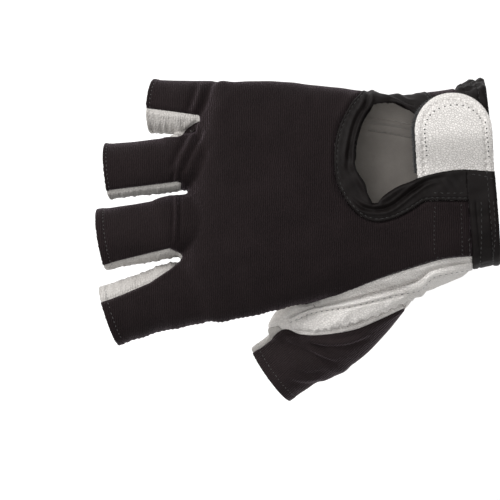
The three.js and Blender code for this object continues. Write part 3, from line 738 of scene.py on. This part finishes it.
# A sheet given a thickness inwards, with a rounded rim. The border is drawn in a little from its neighbour's.
def thick(sheet, wall, drawIn=0.08, rounded=0.35):
    points, faces = sheet.points.copy(), sheet.faces
    normals = sheet.normals
    rim = sheet.border()
    count = len(points)
    tangent = np.zeros_like(points)
    for a, b in rim:
        step = points[b] - points[a]
        tangent[a] += step
        tangent[b] += step
    outward = unit(np.cross(unit(tangent), normals))
    # no way is out where the edge touches itself
    outward[np.bincount(rim.ravel(), minlength=count) > 2] = 0
    edge = np.unique(rim)
    points[edge] -= outward[edge] * drawIn
    inner = points - normals * wall
    place = np.full(count, -1)
    place[edge] = np.arange(len(edge))
    middle = (points[edge] + inner[edge]) / 2 + outward[edge] * min(rounded * wall, rounded)
    a, b = rim.T
    am, bm = place[a] + 2 * count, place[b] + 2 * count
    quads = [*np.column_stack([b, a, am, bm]).tolist(), *np.column_stack([bm, am, a + count, b + count]).tolist()]
    polygons = [*faces.tolist(), *(faces[:, ::-1] + count).tolist(), *quads]
    kinds = [0] * len(faces) + [1] * len(faces) + [0] * len(rim) + [1] * len(rim)
    return np.concatenate([points, inner, middle]), polygons, kinds


def raised(sheet, lift, softly=0):
    # out along its normals, or along their mean over some rounds of neighbours, so that nothing crosses in a crease
    ways = unit(sheet.spread(sheet.normals, softly)) if softly else sheet.normals
    return Sheet(sheet.points + ways * lift[:, None], sheet.faces, None, sheet.marks)


def spacedOut(places, normals, pitch):
    # even steps down a line: the places, their directions and their normals
    way = np.concatenate([[0], np.cumsum(np.linalg.norm(np.diff(places, axis=0), axis=1))])
    count = int(way[-1] / pitch)
    at = (np.arange(count) + 0.5) * way[-1] / max(count, 1)
    pick = lambda values, where: np.column_stack([np.interp(where, way, values[:, k]) for k in range(3)])
    ahead = unit(pick(places, np.minimum(at + pitch / 3, way[-1])) - pick(places, np.maximum(at - pitch / 3, 0)))
    return pick(places, at), ahead, unit(pick(normals, at))


def stitchBodies(at, ahead, up, length, radius, sink, slant=0.0, uneven=0.1):
    # short threads that dip into the cloth at both ends
    rings, sides = 5, 6
    chance = np.random.default_rng(len(at))
    aside = unit(np.cross(up, ahead))
    ahead = unit(ahead + aside * (slant + chance.normal(size=(len(at), 1)) * uneven))
    length = length * (1 + chance.uniform(-1, 0.6, (len(at), 1)) * uneven)
    points, faces = [], []
    for i in range(rings):
        part = i / (rings - 1) * 2 - 1
        thin = math.sqrt(max(1 - abs(part) ** 2.5, 0.02))
        for k in range(sides):
            angle = 2 * math.pi * k / sides
            lift = radius * (0.8 - sink) * (1 - part ** 2) - radius * sink + math.sin(angle) * radius * thin
            points.append(at + ahead * part * length / 2 + up * lift + aside * math.cos(angle) * radius * thin)
    points = np.stack(points, 1)
    for i in range(rings - 1):
        for k in range(sides):
            a, b = i * sides + k, i * sides + (k + 1) % sides
            faces.append((a, b, b + sides, a + sides))
    caps = [tuple(range(sides))[::-1], tuple(range((rings - 1) * sides, rings * sides))]
    size = rings * sides
    every = [tuple(index + n * size for index in face) for n in range(len(at)) for face in (*faces, *caps)]
    return points.reshape(-1, 3), every


def stitchRow(name, lines, material, slot, pitch=2.6, length=2.0, radius=0.22, sink=0.35, slant=0.0, uneven=0.1):
    points, faces, start = [], [], 0
    for places, normals in lines:
        if len(places) < 4:
            continue
        some, polygons = stitchBodies(*spacedOut(places, normals, pitch), length, radius, sink, slant, uneven)
        points.append(some)
        faces += [tuple(index + start for index in face) for face in polygons]
        start += len(some)
    if points:
        return addMesh(name, np.concatenate(points), faces, [material], [0] * len(faces), ())


sewn = {"curl": 0.6, "curlWidth": 0.9, "puff": 0.22, "puffAt": 2.0, "puffWidth": 1.2,
        "hemRise": 0.32, "hemPast": 0.6, "onHem": 0.06, "stitchDip": 0.35, "stitchWidth": 0.4}


def sewnPanel(sheet, rise, wrinkles):
    # a panel whose edges curl into their seams, with a hem turned over at its open ends
    onHem = (np.abs(sheet.marks["hem"]) < sewn["onHem"]) | (np.abs(sheet.marks["mouth"]) < sewn["onHem"])
    seam = sheet.fromBorder(~onHem)
    fromHem = np.minimum(sheet.marks["hem"], sheet.marks["mouth"])
    sheet.marks["seam"] = seam
    facing = 0.25 + 0.75 * np.abs(sheet.normals[:, 2])
    lift = rise * facing - (rise + sewn["curl"]) * bell(seam, sewn["curlWidth"])
    lift += sewn["puff"] * facing * bell(seam - sewn["puffAt"], sewn["puffWidth"])
    hemZone = 1 / (1 + np.exp((fromHem - sheet.marks["hemInset"] - sewn["hemPast"]) * 3))
    lift += sewn["hemRise"] * hemZone
    lift -= sewn["stitchDip"] * bell(fromHem - sheet.marks["hemInset"], sewn["stitchWidth"])
    return raised(sheet, lift + wrinkles * (1 - bell(seam, 1.5)) * (1 - 0.7 * hemZone))


def hemLines(sheet):
    return sheet.levelLines(sheet.marks["hem"] - sheet.marks["hemInset"], 0)


def foldLine(points, rows, depth, width, ridge):
    # a fold pressed in along a line of plan shares, with a ridge beside it
    line = smoothRows(planRows(rows), np.linspace(0, 1, len(rows) * 6))
    away, way = lineDistance(points, line)
    ends = np.clip(np.minimum(way, 1 - way) * 5, 0, 1)
    return -depth * ends * (bell(away, width) - ridge * bell(away - 2.1 * width, width))


def addPanel(name, sheet, node, outside, inside="inside", wall=form["wall"]):
    points, faces, kinds = thick(sheet, wall)
    return addMesh(name, points, faces, [looks[outside], looks[inside]], kinds, [node])


padding = {"enlarged": 8, "pressure": 4, "frames": 20, "fullShare": 0.95, "softly": 40}


def puffed(sheet, held, most):
    # Cloth simulation of a cover that its padding fills: held points stay, and the rest swells by the most given.
    # It runs on an enlarged copy, because cloth of this size is finer than the simulation's own measures.
    enlarged = padding["enlarged"] * mm
    mesh = bpy.data.meshes.new("cover")
    mesh.from_pydata((sheet.points * enlarged).tolist(), [], sheet.faces.tolist())
    cover = bpy.data.objects.new("cover", mesh)
    bpy.context.scene.collection.objects.link(cover)
    pins = cover.vertex_groups.new(name="held")
    pins.add(np.flatnonzero(held).tolist(), 1.0, "REPLACE")
    cloth = cover.modifiers.new("cloth", "CLOTH")
    cloth.settings.use_pressure = True
    cloth.settings.uniform_pressure_force = padding["pressure"]
    cloth.settings.vertex_group_mass = "held"
    cloth.settings.effector_weights.gravity = 0
    cloth.point_cache.frame_start, cloth.point_cache.frame_end = 1, padding["frames"]
    for step in range(1, padding["frames"] + 1):
        bpy.context.scene.frame_set(step)
    found = cover.evaluated_get(bpy.context.evaluated_depsgraph_get()).to_mesh()
    points = np.empty(len(found.vertices) * 3)
    found.vertices.foreach_get("co", points)
    bpy.data.objects.remove(cover)
    bpy.context.scene.frame_set(1)
    shift = ((points.reshape(-1, 3) / enlarged - sheet.points) * sheet.normals).sum(1)
    full = np.quantile(shift, padding["fullShare"])
    shift = sheet.spread(np.clip(shift / full, 0, 1.2), 4)[:, 0] * ~held
    print("cover of", len(held), "points swells")
    return raised(sheet, sheet.spread(shift, 2)[:, 0] * most, padding["softly"])


def evenly(line, pitch):
    # even steps down a line in plan
    way = np.concatenate([[0], np.cumsum(np.linalg.norm(np.diff(line, axis=0), axis=1))])
    at = np.arange(pitch / 2, way[-1], pitch)
    return np.column_stack([np.interp(at, way, line[:, k]) for k in range(2)])


def rowOver(sheet, rows, step=0.4):
    # a line in plan shares laid over the top of a sheet: its places and normals
    line = evenly(smoothRows(planRows(rows), np.linspace(0, 1, 12 * len(rows))), step)
    tree = BVHTree.FromPolygons(sheet.points.tolist(), sheet.faces.tolist())
    hits = [tree.ray_cast((*place, 60), (0, 0, -1)) for place in line.tolist()]
    hits = [hit for hit in hits if hit[0]]
    return tuple(np.array([hit[k] for hit in hits]) for k in (0, 1))


print("back of the hand")
# rows of plan shares, depth, width, ridge
backFolds = [
    ([(0.735, 0.38), (0.742, 0.33), (0.752, 0.28), (0.764, 0.23), (0.766, 0.2)], -1.0, 1.3, 0.9),
    ([(0.752, 0.19), (0.768, 0.12), (0.79, 0.05), (0.798, 0.0)], -1.1, 1.3, 0.9),
    ([(0.797, 0.02), (0.804, -0.04), (0.804, -0.1), (0.802, -0.16), (0.803, -0.22), (0.805, -0.3)], -0.8, 0.7, 1.0),
    ([(0.72, 0.17), (0.745, 0.1), (0.765, 0.04), (0.775, -0.02)], -0.5, 1.8, 0.8),
    ([(0.64, 0.36), (0.68, 0.3), (0.7, 0.22), (0.715, 0.12)], -0.25, 3.0, 0.8),
]
back = skin.clip("back").clip("vent", below=True).clip("tape", below=True).clip("thumbKnit", below=True)
back = back.clip("wrist", below=True).main()
top = np.clip(back.normals[:, 2] * 2, 0, 1)
creases = sum(foldLine(back.points, *fold) for fold in backFolds) * top
creases += 0.2 * wave(back.points, (0.1, 0.16, 0.2), 3) + 0.05 * wave(back.points, (0.6, 0.4, 0.4), 5)
# the overlocked edge on the thumb side pulls the cloth into scallops
edgeSide = np.clip(-back.normals[:, 1] - 0.5, 0, 0.5) * 2
along = back.points[:, 0]
scallops = 0.16 * np.sin(along * 2 * math.pi / 2.1 + np.sin(along * 0.6))
creases += edgeSide * (scallops + 0.2 * np.sin(along * 0.55 + np.sin(along * 0.21)))
back = sewnPanel(back, 0.3, creases)
addPanel("backPanel", back, "back_panel", "knit", "knitInside")
hemRow = {"pitch": 1.8, "length": 1.0, "radius": 0.2, "sink": 0.35, "slant": 0.2, "uneven": 0.35}
stitchRow("hemStitches", hemLines(back), looks["hemThread"], "knit", **hemRow)
nearRadial = np.where(back.points[:, 1] < -28, back.marks["seam"], 9)
stitchRow("radialStitches", [line for line in back.levelLines(nearRadial, 1.0) if line[0][:, 0].max() > -30],
          looks["hemThread"], "knit", 2.4, 1.7, 0.2)

print("thumb")
# two folds fan out from the crotch
thumbFolds = [
    ([(0.51, -0.70), (0.44, -0.716), (0.37, -0.712), (0.306, -0.672)], -1.0, 1.0, 0.9),
    ([(0.53, -0.69), (0.5, -0.715), (0.46, -0.74), (0.42, -0.772), (0.39, -0.79)], -1.0, 1.0, 1.0),
    ([(0.52, -0.86), (0.47, -0.875), (0.43, -0.865)], -0.6, 1.1, 0.9),
    ([(0.44, -0.8), (0.4, -0.83), (0.35, -0.84)], -0.4, 1.6, 0.8),
]
thumbBack = skin.clip("thumbKnit").clip("back", below=True).main()
creases = sum(foldLine(thumbBack.points, *fold) for fold in thumbFolds)
creases = 0.12 * wave(thumbBack.points, (0.25, 0.25, 0.25), 7) + creases
thumbBack = sewnPanel(thumbBack, 0.3, creases)
addPanel("thumbBack", thumbBack, "thumb_back", "thumbKnit", "knitInside")
stitchRow("thumbHemStitches", hemLines(thumbBack), looks["hemThread"], "knit", **hemRow)

leatherPart = skin.clip("back", below=True).clip("thumbKnit", below=True).clip("wrist", below=True)
thumbFront = leatherPart.clip("thumbFront").main()
thumbFront = sewnPanel(thumbFront, 0.0, 0.14 * wave(thumbFront.points, (0.5, 0.5, 0.5), 9))
addPanel("thumbFront", thumbFront, "thumb_front", "gusset")

print("palm and gussets")
whole = leatherPart.clip("thumbFront", below=True)
palm = whole
leatherSheets = [thumbFront]
for pair in gussetPairs:
    mark = "_".join(pair)
    gusset = whole.clip(mark).main().finer()
    creases = 0.16 * wave(gusset.points, (1.5, 0.3, 0.3), 11) + 0.1 * wave(gusset.points, (3.2, 0.7, 0.7), 12)
    gusset = sewnPanel(gusset, 0.0, creases)
    addPanel("gusset" + "".join(name.title() for name in pair), gusset, "gusset_" + mark, "gusset")
    leatherSheets.append(gusset)
    palm = palm.clip(mark, below=True)
palm = palm.main()
creases = 0.16 * wave(palm.points, (0.4, 0.4, 0.4), 13) + 0.07 * wave(palm.points, (1.2, 1.0, 1.0), 14)
# a deep fold lies along the padded patch, where the leather turns under it
creases -= (0.7 + 0.8 * bell(palm.points[:, 0] + 52, 16)) * bell(-palm.marks["patch"] - 0.2, 0.9)
palm = sewnPanel(palm, 0.0, creases)
addPanel("palmPanel", palm, "palm_panel", "palm")
leatherSheets.append(palm)
for number, sheet in enumerate(leatherSheets):
    stitchRow(f"leatherHemStitches{number}", hemLines(sheet), looks["greyThread"], "leather", **hemRow)

print("tapes")
# the tape twists and bunches up: rows of plan shares, depth, width, ridge; below zero stands up
tapeFolds = [
    ([(0.374, -0.097), (0.336, -0.146), (0.298, -0.16), (0.26, -0.146), (0.209, -0.083), (0.17, -0.041),
      (0.12, -0.021)], 0.8, 0.8, 0.9),
    ([(0.319, 0.36), (0.321, 0.281), (0.341, 0.227), (0.353, 0.176), (0.364, 0.092), (0.369, 0)], 0.9, 0.9, 0.8),
    ([(0.294, 0.337), (0.26, 0.315), (0.222, 0.281), (0.196, 0.273)], 0.8, 0.8, 0.6),
    ([(0.316, 0.319), (0.29, 0.298), (0.247, 0.273), (0.204, 0.26)], -1.1, 2.0, 0.2),
    ([(0.308, -0.134), (0.272, -0.109), (0.242, -0.076), (0.209, -0.05), (0.17, -0.034)], -1.0, 1.5, 0.3),
    ([(0.321, 0.252), (0.341, 0.197), (0.351, 0.126), (0.351, 0.05), (0.341, -0.025), (0.323, -0.084),
      (0.311, -0.13)], -0.7, 1.4, 0.2),
]
tape = skin.clip("tape").clip("vent", below=True).clip("wrist", below=True).main().finer()
inner, outer = -tape.marks["vent"], tape.marks["tape"]
lift = 0.8 + 0.4 * bell(inner - 1.3, 1.4) - 0.7 * bell(inner, 0.45)
lift -= 0.3 * bell(outer - 1.2, 0.35) + 0.45 * bell(outer, 0.4)
lift += 0.14 * wave(tape.points, (0.8, 0.8, 0.3), 21) + sum(foldLine(tape.points, *fold) for fold in tapeFolds)
tape = raised(tape, lift)
addPanel("ventTape", tape, "vent_tape", "tape", "tape", 2.2)
tapeRow = {"pitch": 2.3, "length": 1.5, "radius": 0.18, "sink": 0.3}
stitchRow("ventTapeStitches", tape.levelLines(tape.marks["tape"], 1.2), looks["blackThread"], "tape", **tapeRow)
flapRow = rowOver(tape, [(0.158, -0.09), (0.11, -0.092), (0.075, -0.09)])
stitchRow("flapStitches", [flapRow], looks["blackThread"], "tape", **tapeRow)
# a stitched box holds the flap's end down on the knit
box = [[(0.15, -0.14), (0.152, -0.25), (0.15, -0.352)], [(0.15, -0.357), (0.11, -0.362), (0.077, -0.36)],
       [(0.085, -0.13), (0.082, -0.25), (0.08, -0.355)]]
stitchRow("flapBoxStitches", [rowOver(back, rows) for rows in box], looks["blackThread"], "knit", **hemRow)

wristTape = skin.clip("wrist").clip("vent", below=True).main().finer()
fromMouth, fromEdge = wristTape.marks["mouth"], wristTape.marks["wrist"]
# above the flap's seam it runs on from the tape round the vent without a step
apart = 1 / (1 + np.exp((wristTape.points[:, 1] + 12.8) * 3)) + (wristTape.points[:, 1] > 8)
pressed = 0.7 * bell(fromEdge, 0.5) + 0.35 * bell(fromEdge - 3.0, 0.4) + 0.35 * bell(fromMouth - 3.4, 0.4)
lift = 0.8 - apart * pressed
lift += 0.3 * bell(fromMouth - 1.6, 1.2) - 0.5 * bell(fromMouth, 0.5)
lift -= 0.5 * bell(-wristTape.marks["vent"], 0.5) * (1 - apart)
lift += 0.14 * wave(wristTape.points, (0.5, 0.3, 0.3), 23) + 0.1 * wave(wristTape.points, (0.3, 1.1, 1.1), 24)
# its top end is cut rough and stands up in a twist
corner = bell(np.linalg.norm(wristTape.points[:, :2] - (-7, 34), axis=1), 7)
lift += corner * (0.9 + 1.0 * wave(wristTape.points, (0.55, 0.8, 0.8), 25))
wristTape = raised(wristTape, lift)
addPanel("wristTape", wristTape, "wrist_tape", "tape", "tape", 3.0)
rows = [[(0.062, -0.012), (0.03, -0.02), (0.0, -0.035)], [(0.034, -0.12), (0.033, -0.25), (0.033, -0.39)],
        [(0.004, -0.12), (-0.002, -0.25), (0.002, -0.37)]]
over = [rowOver(wristTape, row) for row in rows]
under = [line for line in wristTape.levelLines(fromMouth, 3.4) if line[1][:, 2].mean() < 0]
stitchRow("wristTapeStitches", over + under, looks["blackThread"], "tape", **tapeRow)

print("padded patches")
# the patch: a rolled upper edge, a sewn channel, and a padded grain middle whose lower edge is cut in teeth
patchLook = {"roll": 0.6, "rise": 1.5, "channel": 2.2, "channelDepth": 0.9, "swell": 1.0, "narrow": 5.0,
             "tooth": 0.5, "toothPitch": 3.4, "wall": 1.9, "softly": 40,
             "full": 1.25, "fullest": (-32, -50.8), "fullWidth": 6}
patch = skin.clip("patch", level=-1.5).clip("wrist", below=True).main().finer()
upperLine, lowerLine = planCurve("patchUpper"), planCurve("patchLower")
upper, (lower, way) = lineDistance(patch.points, upperLine)[0], lineDistance(patch.points, lowerLine)
length = np.linalg.norm(np.diff(lowerLine, axis=0), axis=1).sum()
teeth = np.abs((way * length / patchLook["toothPitch"]) % 1 * 2 - 1) * 2 - 1
inEnds = np.clip(np.minimum(way - 0.28, 1 - way) * 8, 0, 1)
patch.marks["cut"] = patch.marks["patch"] + teeth * patchLook["tooth"] * inEnds * (lower < upper)
patch = patch.clip("cut").main()
upper, lower = (lineDistance(patch.points, line)[0] for line in (upperLine, lowerLine))
broad = np.clip((upper + lower - patchLook["narrow"]) / 3, 0, 1)
edge = patch.fromBorder()
patch = patch.trimmed(4).bridged(40, 0.6, np.clip(edge / 1.5, 0, 1))
channel = upper - patchLook["channel"]
lift = 0.15 + patchLook["rise"] * (0.5 + 0.5 * broad) * (1 - bell(edge, patchLook["roll"]))
patch = raised(patch, lift, patchLook["softly"])
# it is fullest beside the thumb's root
filled = bell(np.linalg.norm(patch.points[:, :2] - patchLook["fullest"], axis=1), patchLook["fullWidth"])
patch = raised(patch, patchLook["full"] * filled * np.clip(edge / 2.5, 0, 1), patchLook["softly"])
patch = puffed(patch, (edge < 0.25) | (np.abs(channel) < 0.2) | (broad < 0.1), patchLook["swell"])
lift = 0.45 * bell(upper - 1.0, 0.7) - patchLook["channelDepth"] * bell(channel, 0.42) * broad
patch = raised(patch, lift * broad + 0.08 * wave(patch.points, (0.6, 0.6, 0.4), 27))
patchPiece = addPanel("thumbWebPatch", patch, "thumb_web_patch", "pad", wall=patchLook["wall"])
onPatch = [line for line in patch.levelLines(upper, patchLook["channel"]) if len(line[0]) > 60]
stitchRow("patchStitches", onPatch, looks["greyThread"], "pad_leather", 2.6, 1.6, 0.2, 0.5)
between = [(places[6:], normals[6:]) for places, normals in onPatch]
# painted shade: near-black short bodies sunk into the channel's needle holes stand for the shade inside them
stitchRow("patchNeedleHoleShades", between, looks["needleHoleShade"], "fastener", 2.6, 0.8, 0.24, 0.6)

padLook = {"rise": 1.6, "roll": 1.6, "stitch": 5.0, "channelDepth": 0.9, "swell": 2.2, "wall": 3.2, "softly": 60}
pad = skin.clip("pad").main()
# leather is drawn straight over the crease at the thumb's root
edge = pad.fromBorder()
pad = pad.trimmed(4).relaxed(120, 0.7, np.clip((edge - 0.3) / 2, 0, 1))
pad = raised(pad, 0.3 + padLook["rise"] * (1 - bell(edge, padLook["roll"])), padLook["softly"])
pad = puffed(pad, (edge < 0.4) | (np.abs(edge - padLook["stitch"]) < 0.5), padLook["swell"])
edge = pad.fromBorder()
lift = 0.15 * wave(pad.points, (0.2, 0.2, 0.2), 28) - padLook["channelDepth"] * bell(edge - padLook["stitch"], 0.6)
pad = raised(pad, lift)
padPiece = addPanel("palmPad", pad, "palm_pad", "pad", wall=padLook["wall"])
padRow = pad.levelLines(edge, padLook["stitch"])
stitchRow("palmPadStitches", padRow, looks["greyThread"], "pad_leather", 2.6, 2.0, 0.22)

print("fastening")
fastening = {"tabWidth": 31.8, "tabThickness": 1.6, "lean": 4.5, "centre": -0.0976, "root": -0.13, "end": 0.33,
             "out": 0.005, "landing": 0.175, "tape": 0.8, "gap": 0.3, "wall": 1.5, "loop": 1.0, "hook": 1.0,
             "hookInset": 1.2, "hookProud": 1.1, "loopInset": 1.0, "grid": 0.36, "holeInset": 3.0, "holePitch": 2.6,
             "holeSize": 0.5, "hairs": 420, "hairLength": 1.3, "hairSize": 0.07}


def wristTop(x, y, grow):
    # the height of the top of the form, grown by so much, over places in plan
    low, high = np.zeros(len(x)), np.ones(len(x))
    t = np.linspace(0, 1, 400)
    sections = smoothRows(palmSections, t)
    column = lambda share, k: np.interp(share, t, sections[:, k])
    for _ in range(20):
        middle = (low + high) / 2
        centreY = (column(middle, 1) + column(middle, 2)) / 2 * form["palmBreadth"]
        ahead = -column(middle, 0) * form["gloveLength"] + (y - centreY) * column(middle, 5) > x
        low, high = np.where(ahead, middle, low), np.where(ahead, high, middle)
    centreY = (column(low, 1) + column(low, 2)) / 2 * form["palmBreadth"]
    half = (column(low, 1) - column(low, 2)) / 2 * form["palmBreadth"] + grow
    above = column(low, 3) * form["palmThickness"] + grow
    reach = np.minimum(np.abs(y - centreY) / half, 0.995)
    return above * (1 - reach ** form["palmPower"]) ** (1 / form["palmPower"])


def tabOutline(inset, root, shift=0.0):
    radius = fastening["tabWidth"] / 2 - inset
    end = fastening["end"] * form["palmBreadth"] - fastening["tabWidth"] / 2
    angle = np.linspace(0, math.pi, 40)
    arc = np.column_stack([np.cos(angle) * radius, end + np.sin(angle) * radius])
    outline = np.array([(radius, root), *arc, (-radius, root)])
    lean = math.radians(fastening["lean"])
    turn = np.array([[math.cos(lean), -math.sin(lean)], [math.sin(lean), math.cos(lean)]])
    return outline @ turn.T + (fastening["centre"] * form["gloveLength"] - shift, 0)


def tabLow(y):
    # how high the tab's underside is over the form: it rises from inside the vent onto the layers of the fastener
    gap = fastening["gap"]
    high = fastening["tape"] + gap + fastening["loop"] + gap + fastening["hook"] + gap
    low = -(fastening["wall"] + fastening["tape"] + gap + fastening["tabThickness"])
    start, stop = (fastening[name] * form["palmBreadth"] for name in ("out", "landing"))
    share = np.clip((y - start) / (stop - start), 0, 1)
    return low + (high - low) * share * share * (3 - 2 * share)


def overWrist(outline, lift):
    # a flat sheet in plan, laid over the wrist
    step = fastening["grid"]
    low, high = outline.min(0) - 1, outline.max(0) + 1
    xs, ys = (np.arange(low[k], high[k] + step, step) for k in range(2))
    x, y = (grid.ravel() for grid in np.meshgrid(xs, ys))
    points = np.column_stack([x, y, wristTop(x, y, lift(y))])
    wide = len(xs)
    corner = (np.arange(len(ys) - 1)[:, None] * wide + np.arange(wide - 1)).ravel()
    faces = np.concatenate([np.column_stack([corner, corner + 1, corner + 1 + wide]),
                            np.column_stack([corner, corner + 1 + wide, corner + wide])])
    flat = Sheet(points, faces, None, {"outline": planDistance(points, outline)})
    return flat.clip("outline")


def hairs(name, starts, ways, size, material):
    # thin bristles, three-sided and pointed
    side = unit(np.cross(ways, (0.3, 0.5, 0.8)))
    other = unit(np.cross(ways, side))
    foot = [starts + (side * math.cos(a) + other * math.sin(a)) * size for a in (0, 2.1, 4.2)]
    bend = starts + ways * 0.6 + side * np.linalg.norm(ways, axis=1)[:, None] * 0.15
    knee = [bend + (side * math.cos(a) + other * math.sin(a)) * size * 0.8 for a in (0, 2.1, 4.2)]
    tip = starts + ways
    points = np.stack([*foot, *knee, tip], 1).reshape(-1, 3)
    shape = [(0, 1, 4, 3), (1, 2, 5, 4), (2, 0, 3, 5), (3, 4, 6), (4, 5, 6), (5, 3, 6)]
    faces = [tuple(i + 7 * n for i in face) for n in range(len(starts)) for face in shape]
    return addMesh(name, points, faces, [material], [0] * len(faces), ())


root = fastening["root"] * form["palmBreadth"]
tab = overWrist(tabOutline(0, root), lambda y: tabLow(y) + fastening["tabThickness"])
edge = tab.marks["outline"]
holes = evenly(tabOutline(fastening["holeInset"], root), fastening["holePitch"])
tree = kdtree.KDTree(len(holes))
for i, place in enumerate(holes):
    tree.insert((*place, 0), i)
tree.balance()
fromHole = np.array([tree.find((x, y, 0))[2] for x, y, _ in tab.points])
lift = -0.4 * bell(edge, 0.8) - 0.25 * bell(edge - fastening["holeInset"], 0.8)
lift -= 0.5 * bell(fromHole, fastening["holeSize"])
tab = raised(tab, lift + 0.12 * wave(tab.points, (0.22, 0.22, 0.2), 31))
addPanel("wristTab", tab, "wrist_tab", "tab", wall=fastening["tabThickness"])
onTab = BVHTree.FromPolygons(tab.points.tolist(), tab.faces.tolist())
spots = [onTab.find_nearest((*place, 25)) for place in holes if place[1] > fastening["out"] * form["palmBreadth"]]
at, up = (np.array([spot[k] for spot in spots]) for k in (0, 1))
ahead = unit(np.gradient(at, axis=0))
# painted shade: near-black bodies sunk into the tab's holes stand for the shade inside them
points, faces = stitchBodies(at - up * 0.1, ahead, up, 0.85, 0.36, 0.4)
addMesh("tabNeedleHoleShades", points, faces, [looks["needleHoleShade"]], [0] * len(faces), ())

hookShift = fastening["hookInset"] + fastening["hookProud"]
hookOutline = tabOutline(fastening["hookInset"], fastening["out"] * form["palmBreadth"], hookShift)
hook = overWrist(hookOutline, lambda y: tabLow(y) - fastening["gap"])
addPanel("hookPatch", hook, "hook_patch", "fastener", "fastener", fastening["hook"])
# bristles along the edge of the hook patch that shows past the tab
chance = np.random.default_rng(5)
line = hookOutline[hookOutline[:, 0] < hookOutline[:, 0].mean()]
along = evenly(line, np.linalg.norm(np.diff(line, axis=0), axis=1).sum() / fastening["hairs"])
away = unit(np.column_stack([-np.gradient(along[:, 1]), np.gradient(along[:, 0])]))
away *= np.sign((away * (along - hookOutline.mean(0))).sum(1))[:, None]
starts = np.column_stack([along - away * 0.3, wristTop(along[:, 0], along[:, 1], tabLow(along[:, 1]) - 0.6)])
leaning = np.column_stack([away, np.zeros(len(away))]) + chance.normal(size=(len(away), 3)) * 0.55
lengths = chance.uniform(0.4, 1, len(away))[:, None] * fastening["hairLength"]
starts[:, 2] += chance.uniform(-0.4, 0.5, len(away))

# cut threads stand out of the tape's two ends
for name, (x, y), count in (("topFray", (-9.5, 35.5), 26), ("lowFray", (-9.2, -40.5), 14)):
    ends = [(-(x + along) / form["gloveLength"], y / form["palmBreadth"]) for along in (1.5, -3.5)]
    foot, up = rowOver(wristTape, ends, 5 / count)
    ways = unit(chance.normal(size=foot.shape) * 0.5 + (-0.3, np.sign(y), 0.2))
    ways *= chance.uniform(0.8, 2.6, (len(foot), 1))
    hairs(name, foot - up * 0.2, ways, 0.07, looks["blackThread"])
hairs("hookBristles", starts, unit(leaning) * lengths, fastening["hairSize"], looks["fastener"])
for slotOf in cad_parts["loop_patch"].material_slots:
    slotOf.material = looks["fastener"]

# floor, light and camera
print("stage")
stage = {"floorDrop": 0.12, "floorSize": 3.0, "middle": (-0.10164, -0.03276), "away": 1.6, "seen": 0.21}
floor = bpy.data.meshes.new("floor")
half = stage["floorSize"]
floor.from_pydata([(-half, -half, 0), (half, -half, 0), (half, half, 0), (-half, half, 0)], [], [(0, 1, 2, 3)])
floorObject = bpy.data.objects.new("floor", floor)
floorObject.location.z = cadBox[0][2] - stage["floorDrop"]
bpy.context.scene.collection.objects.link(floorObject)
paint, shader, tree = newMaterial("paleFloor")
shader.inputs["Base Color"].default_value = (0.96, 0.96, 0.96, 1)
shader.inputs["Roughness"].default_value = 0.9
shader.inputs["Emission Color"].default_value = (1, 1, 1, 1)
shader.inputs["Emission Strength"].default_value = 0.2
# seen from below the floor is clear, so that the palm can be looked at
clear = tree.node("ShaderNodeBsdfTransparent")
below = tree.node("ShaderNodeNewGeometry", output="Backfacing")
mixed = tree.node("ShaderNodeMixShader", (), {0: below, 1: Shade(tree.tree, shader.outputs[0]), 2: clear})
tree.tree.links.new(mixed.socket, paint.node_tree.nodes["Material Output"].inputs["Surface"])
floor.materials.append(paint)

lamps = {
    "topLamp": ((-0.25, 0.9, 0.75), 0.5, 4.8),
    "viewerLamp": ((-0.3, 0.0, 1.5), 0.8, 7.6),
    "lowLamp": ((-0.1, -0.9, 0.7), 0.8, 1.4),
    "leftLamp": ((-1.0, 0.4, 0.5), 0.5, 8.0),
}
aim = Vector((*stage["middle"], 0))
for name, (place, size, power) in lamps.items():
    lamp = bpy.data.lights.new(name, "AREA")
    lamp.size, lamp.energy = size, power
    lampObject = bpy.data.objects.new(name, lamp)
    lampObject.location = place
    lampObject.rotation_euler = (aim - Vector(place)).to_track_quat("-Z", "Y").to_euler()
    bpy.context.scene.collection.objects.link(lampObject)
world = bpy.data.worlds.new("room")
world.use_nodes = True
world.node_tree.nodes["Background"].inputs["Color"].default_value = (1, 1, 1, 1)
world.node_tree.nodes["Background"].inputs["Strength"].default_value = 0.34
bpy.context.scene.world = world
bpy.context.scene.view_settings.view_transform = "Standard"

camera = bpy.data.cameras.new("camera")
camera.sensor_width = 36
camera.lens = camera.sensor_width * stage["away"] / stage["seen"]
camera.clip_end = 10
cameraObject = bpy.data.objects.new("camera", camera)
cameraObject.location = (*stage["middle"], stage["away"])
bpy.context.scene.collection.objects.link(cameraObject)
bpy.context.scene.camera = cameraObject

print("done")
